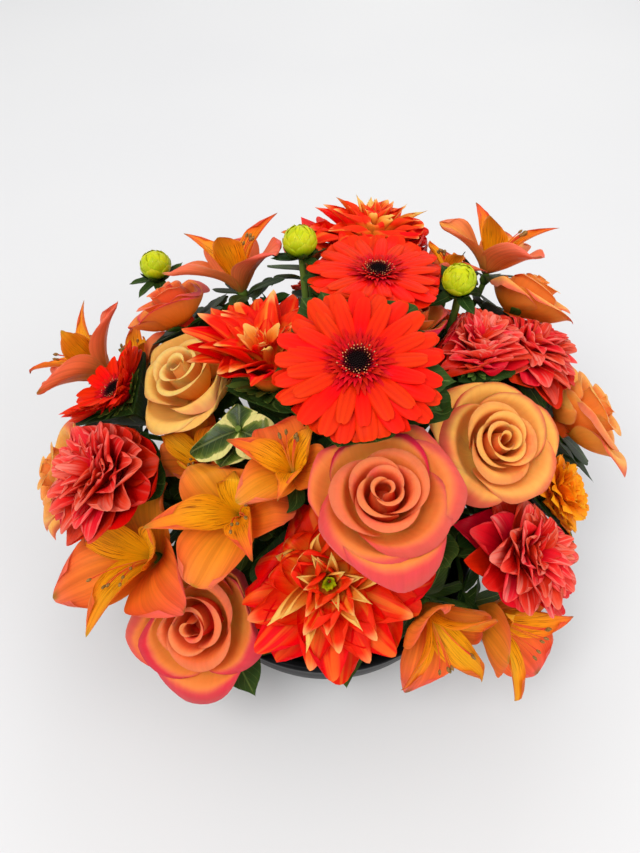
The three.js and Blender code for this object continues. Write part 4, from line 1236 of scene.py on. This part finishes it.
draw = random.Random(SPRIG.seed)
leaves, stalk = Shape(), Shape()
add_stem(stalk, stem_run(SPRIG.below(0.4), SPRIG.axis), STEM_SPRIG, draw)
add_rings(leaves, SPRIG, SPRIG_RINGS, ROUND_LEAF, draw)
dress(leaves, "variegated_leaves", "variegated_sprig", "variegated")
dress(stalk, "variegated_stalk", "variegated_sprig", "greenery")

# ---- bowl and foam ----

BOWL_OUTLINE = [
    (0, 0.8), (44, 0.8), (46, 0.2), (48, 0), (54, 0), (55.4, 0.8), (56.6, 2.6), (59, 8), (66, 18.5),
    (72.5, 27), (78.2, 34.1), (79.4, 37), (80.4, 45), (81.4, 55.6), (81.9, 57), (83.2, 57.4), (83.8, 58.2),
    (84, 59.4), (84, 60.8), (83.5, 61.7), (82.4, 62), (80.6, 62), (79.9, 61.6), (79.4, 60.6), (77.6, 45),
    (76.6, 35), (70, 26), (60, 13.4), (56, 9), (53.4, 4.4), (52, 3.2), (50, 3), (0, 3),
]
FOAM_SIDE = [(0, 3.3), (50, 3.3), (52.4, 4.2), (55, 12), (64, 25), (72.6, 37.4), (73.9, 40), (74, 70)]
DENTS_FROM = 62


def standing(outline, sides):
    """Rings of points about the upright axis."""
    turn, outline = circle(sides), np.array(outline, float)
    reach, level = outline[:, :1], outline[:, 1:]
    return np.stack([reach * np.cos(turn), reach * np.sin(turn), level + 0 * turn], -1)


def with_steps(outline, steps):
    """An outline with more points on its lines, all its corners kept."""
    outline = np.array(outline, float)
    lengths = np.concatenate([[0], np.cumsum(np.linalg.norm(np.diff(outline, axis=0), axis=1))])
    at = np.unique(np.concatenate([np.linspace(0, lengths[-1], steps), lengths]))
    return np.stack([np.interp(at, lengths, outline[:, k]) for k in (0, 1)], -1)


def foam_rings():
    """A block with a domed top, which dips and swells a little where it was cut by hand."""
    outline = list(FOAM_SIDE)
    for angle in np.linspace(4, 90, 24):
        reach = 0 if angle == 90 else FOAM_RADIUS * math.cos(math.radians(angle))
        outline.append((reach, FOAM_SHOULDER + (FOAM_TOP - FOAM_SHOULDER) * math.sin(math.radians(angle))))
    rings = standing(with_steps(outline, 60), 120)
    x, y, z = np.moveaxis(rings, -1, 0)
    turn = np.arctan2(y, x)
    dent = 0.35 * np.sin(7 * turn + 0.21 * z) + 0.25 * np.sin(17 * turn - 0.4 * z)
    dent = (dent - 0.7) * (z > DENTS_FROM)
    rings[..., :2] *= (1 + dent / np.maximum(np.hypot(x, y), 20))[..., None]
    return rings


for rings, name, node, slot in (
        (standing(BOWL_OUTLINE, 160), "bowl_shell", "bowl", "bowl"),
        (foam_rings(), "foam_block", "floral_foam", "foam")):
    shape = Shape()
    shape.revolve(rings, (0.5, 0.5))
    dress(shape, name, node, slot)

# ---- floor and light ----

FLOOR_REACH = 4.0
LIGHTS_AIM = Vector((0, 0, 0.1))
WORLD_LIGHT = 0.76

floor_mesh = bpy.data.meshes.new("floor")
corners = [(x * FLOOR_REACH, y * FLOOR_REACH, 0) for x, y in ((-1, -1), (1, -1), (1, 1), (-1, 1))]
floor_mesh.from_pydata(corners, [], [(0, 1, 2, 3)])
floor_mesh.uv_layers.new(name="petal")
floor_mesh.uv_layers.new(name="tone")
floor_mesh.materials.append(floor_material())
floor = bpy.data.objects.new("floor", floor_mesh)
bpy.context.scene.collection.objects.link(floor)


def area_light(name, place, size, power):
    light_data = bpy.data.lights.new(name, "AREA")
    light_data.shape = "DISK"
    light_data.size = size
    light_data.energy = power
    light = bpy.data.objects.new(name, light_data)
    light.location = place
    light.rotation_euler = (LIGHTS_AIM - Vector(place)).to_track_quat("-Z", "Y").to_euler()
    bpy.context.scene.collection.objects.link(light)


area_light("key", (-0.5, -0.6, 1.5), 0.8, 12.5)
area_light("fill", (1.1, -0.5, 0.9), 1.0, 5.5)
area_light("back", (0.2, 1.3, 1.1), 1.0, 5)

world = bpy.data.worlds.new("studio")
world.use_nodes = True
background = world.node_tree.nodes["Background"].inputs
background[0].default_value = WHITE
background[1].default_value = WORLD_LIGHT
bpy.context.scene.world = world
bpy.context.scene.view_settings.view_transform = "Standard"
bpy.context.scene.view_settings.look = "None"
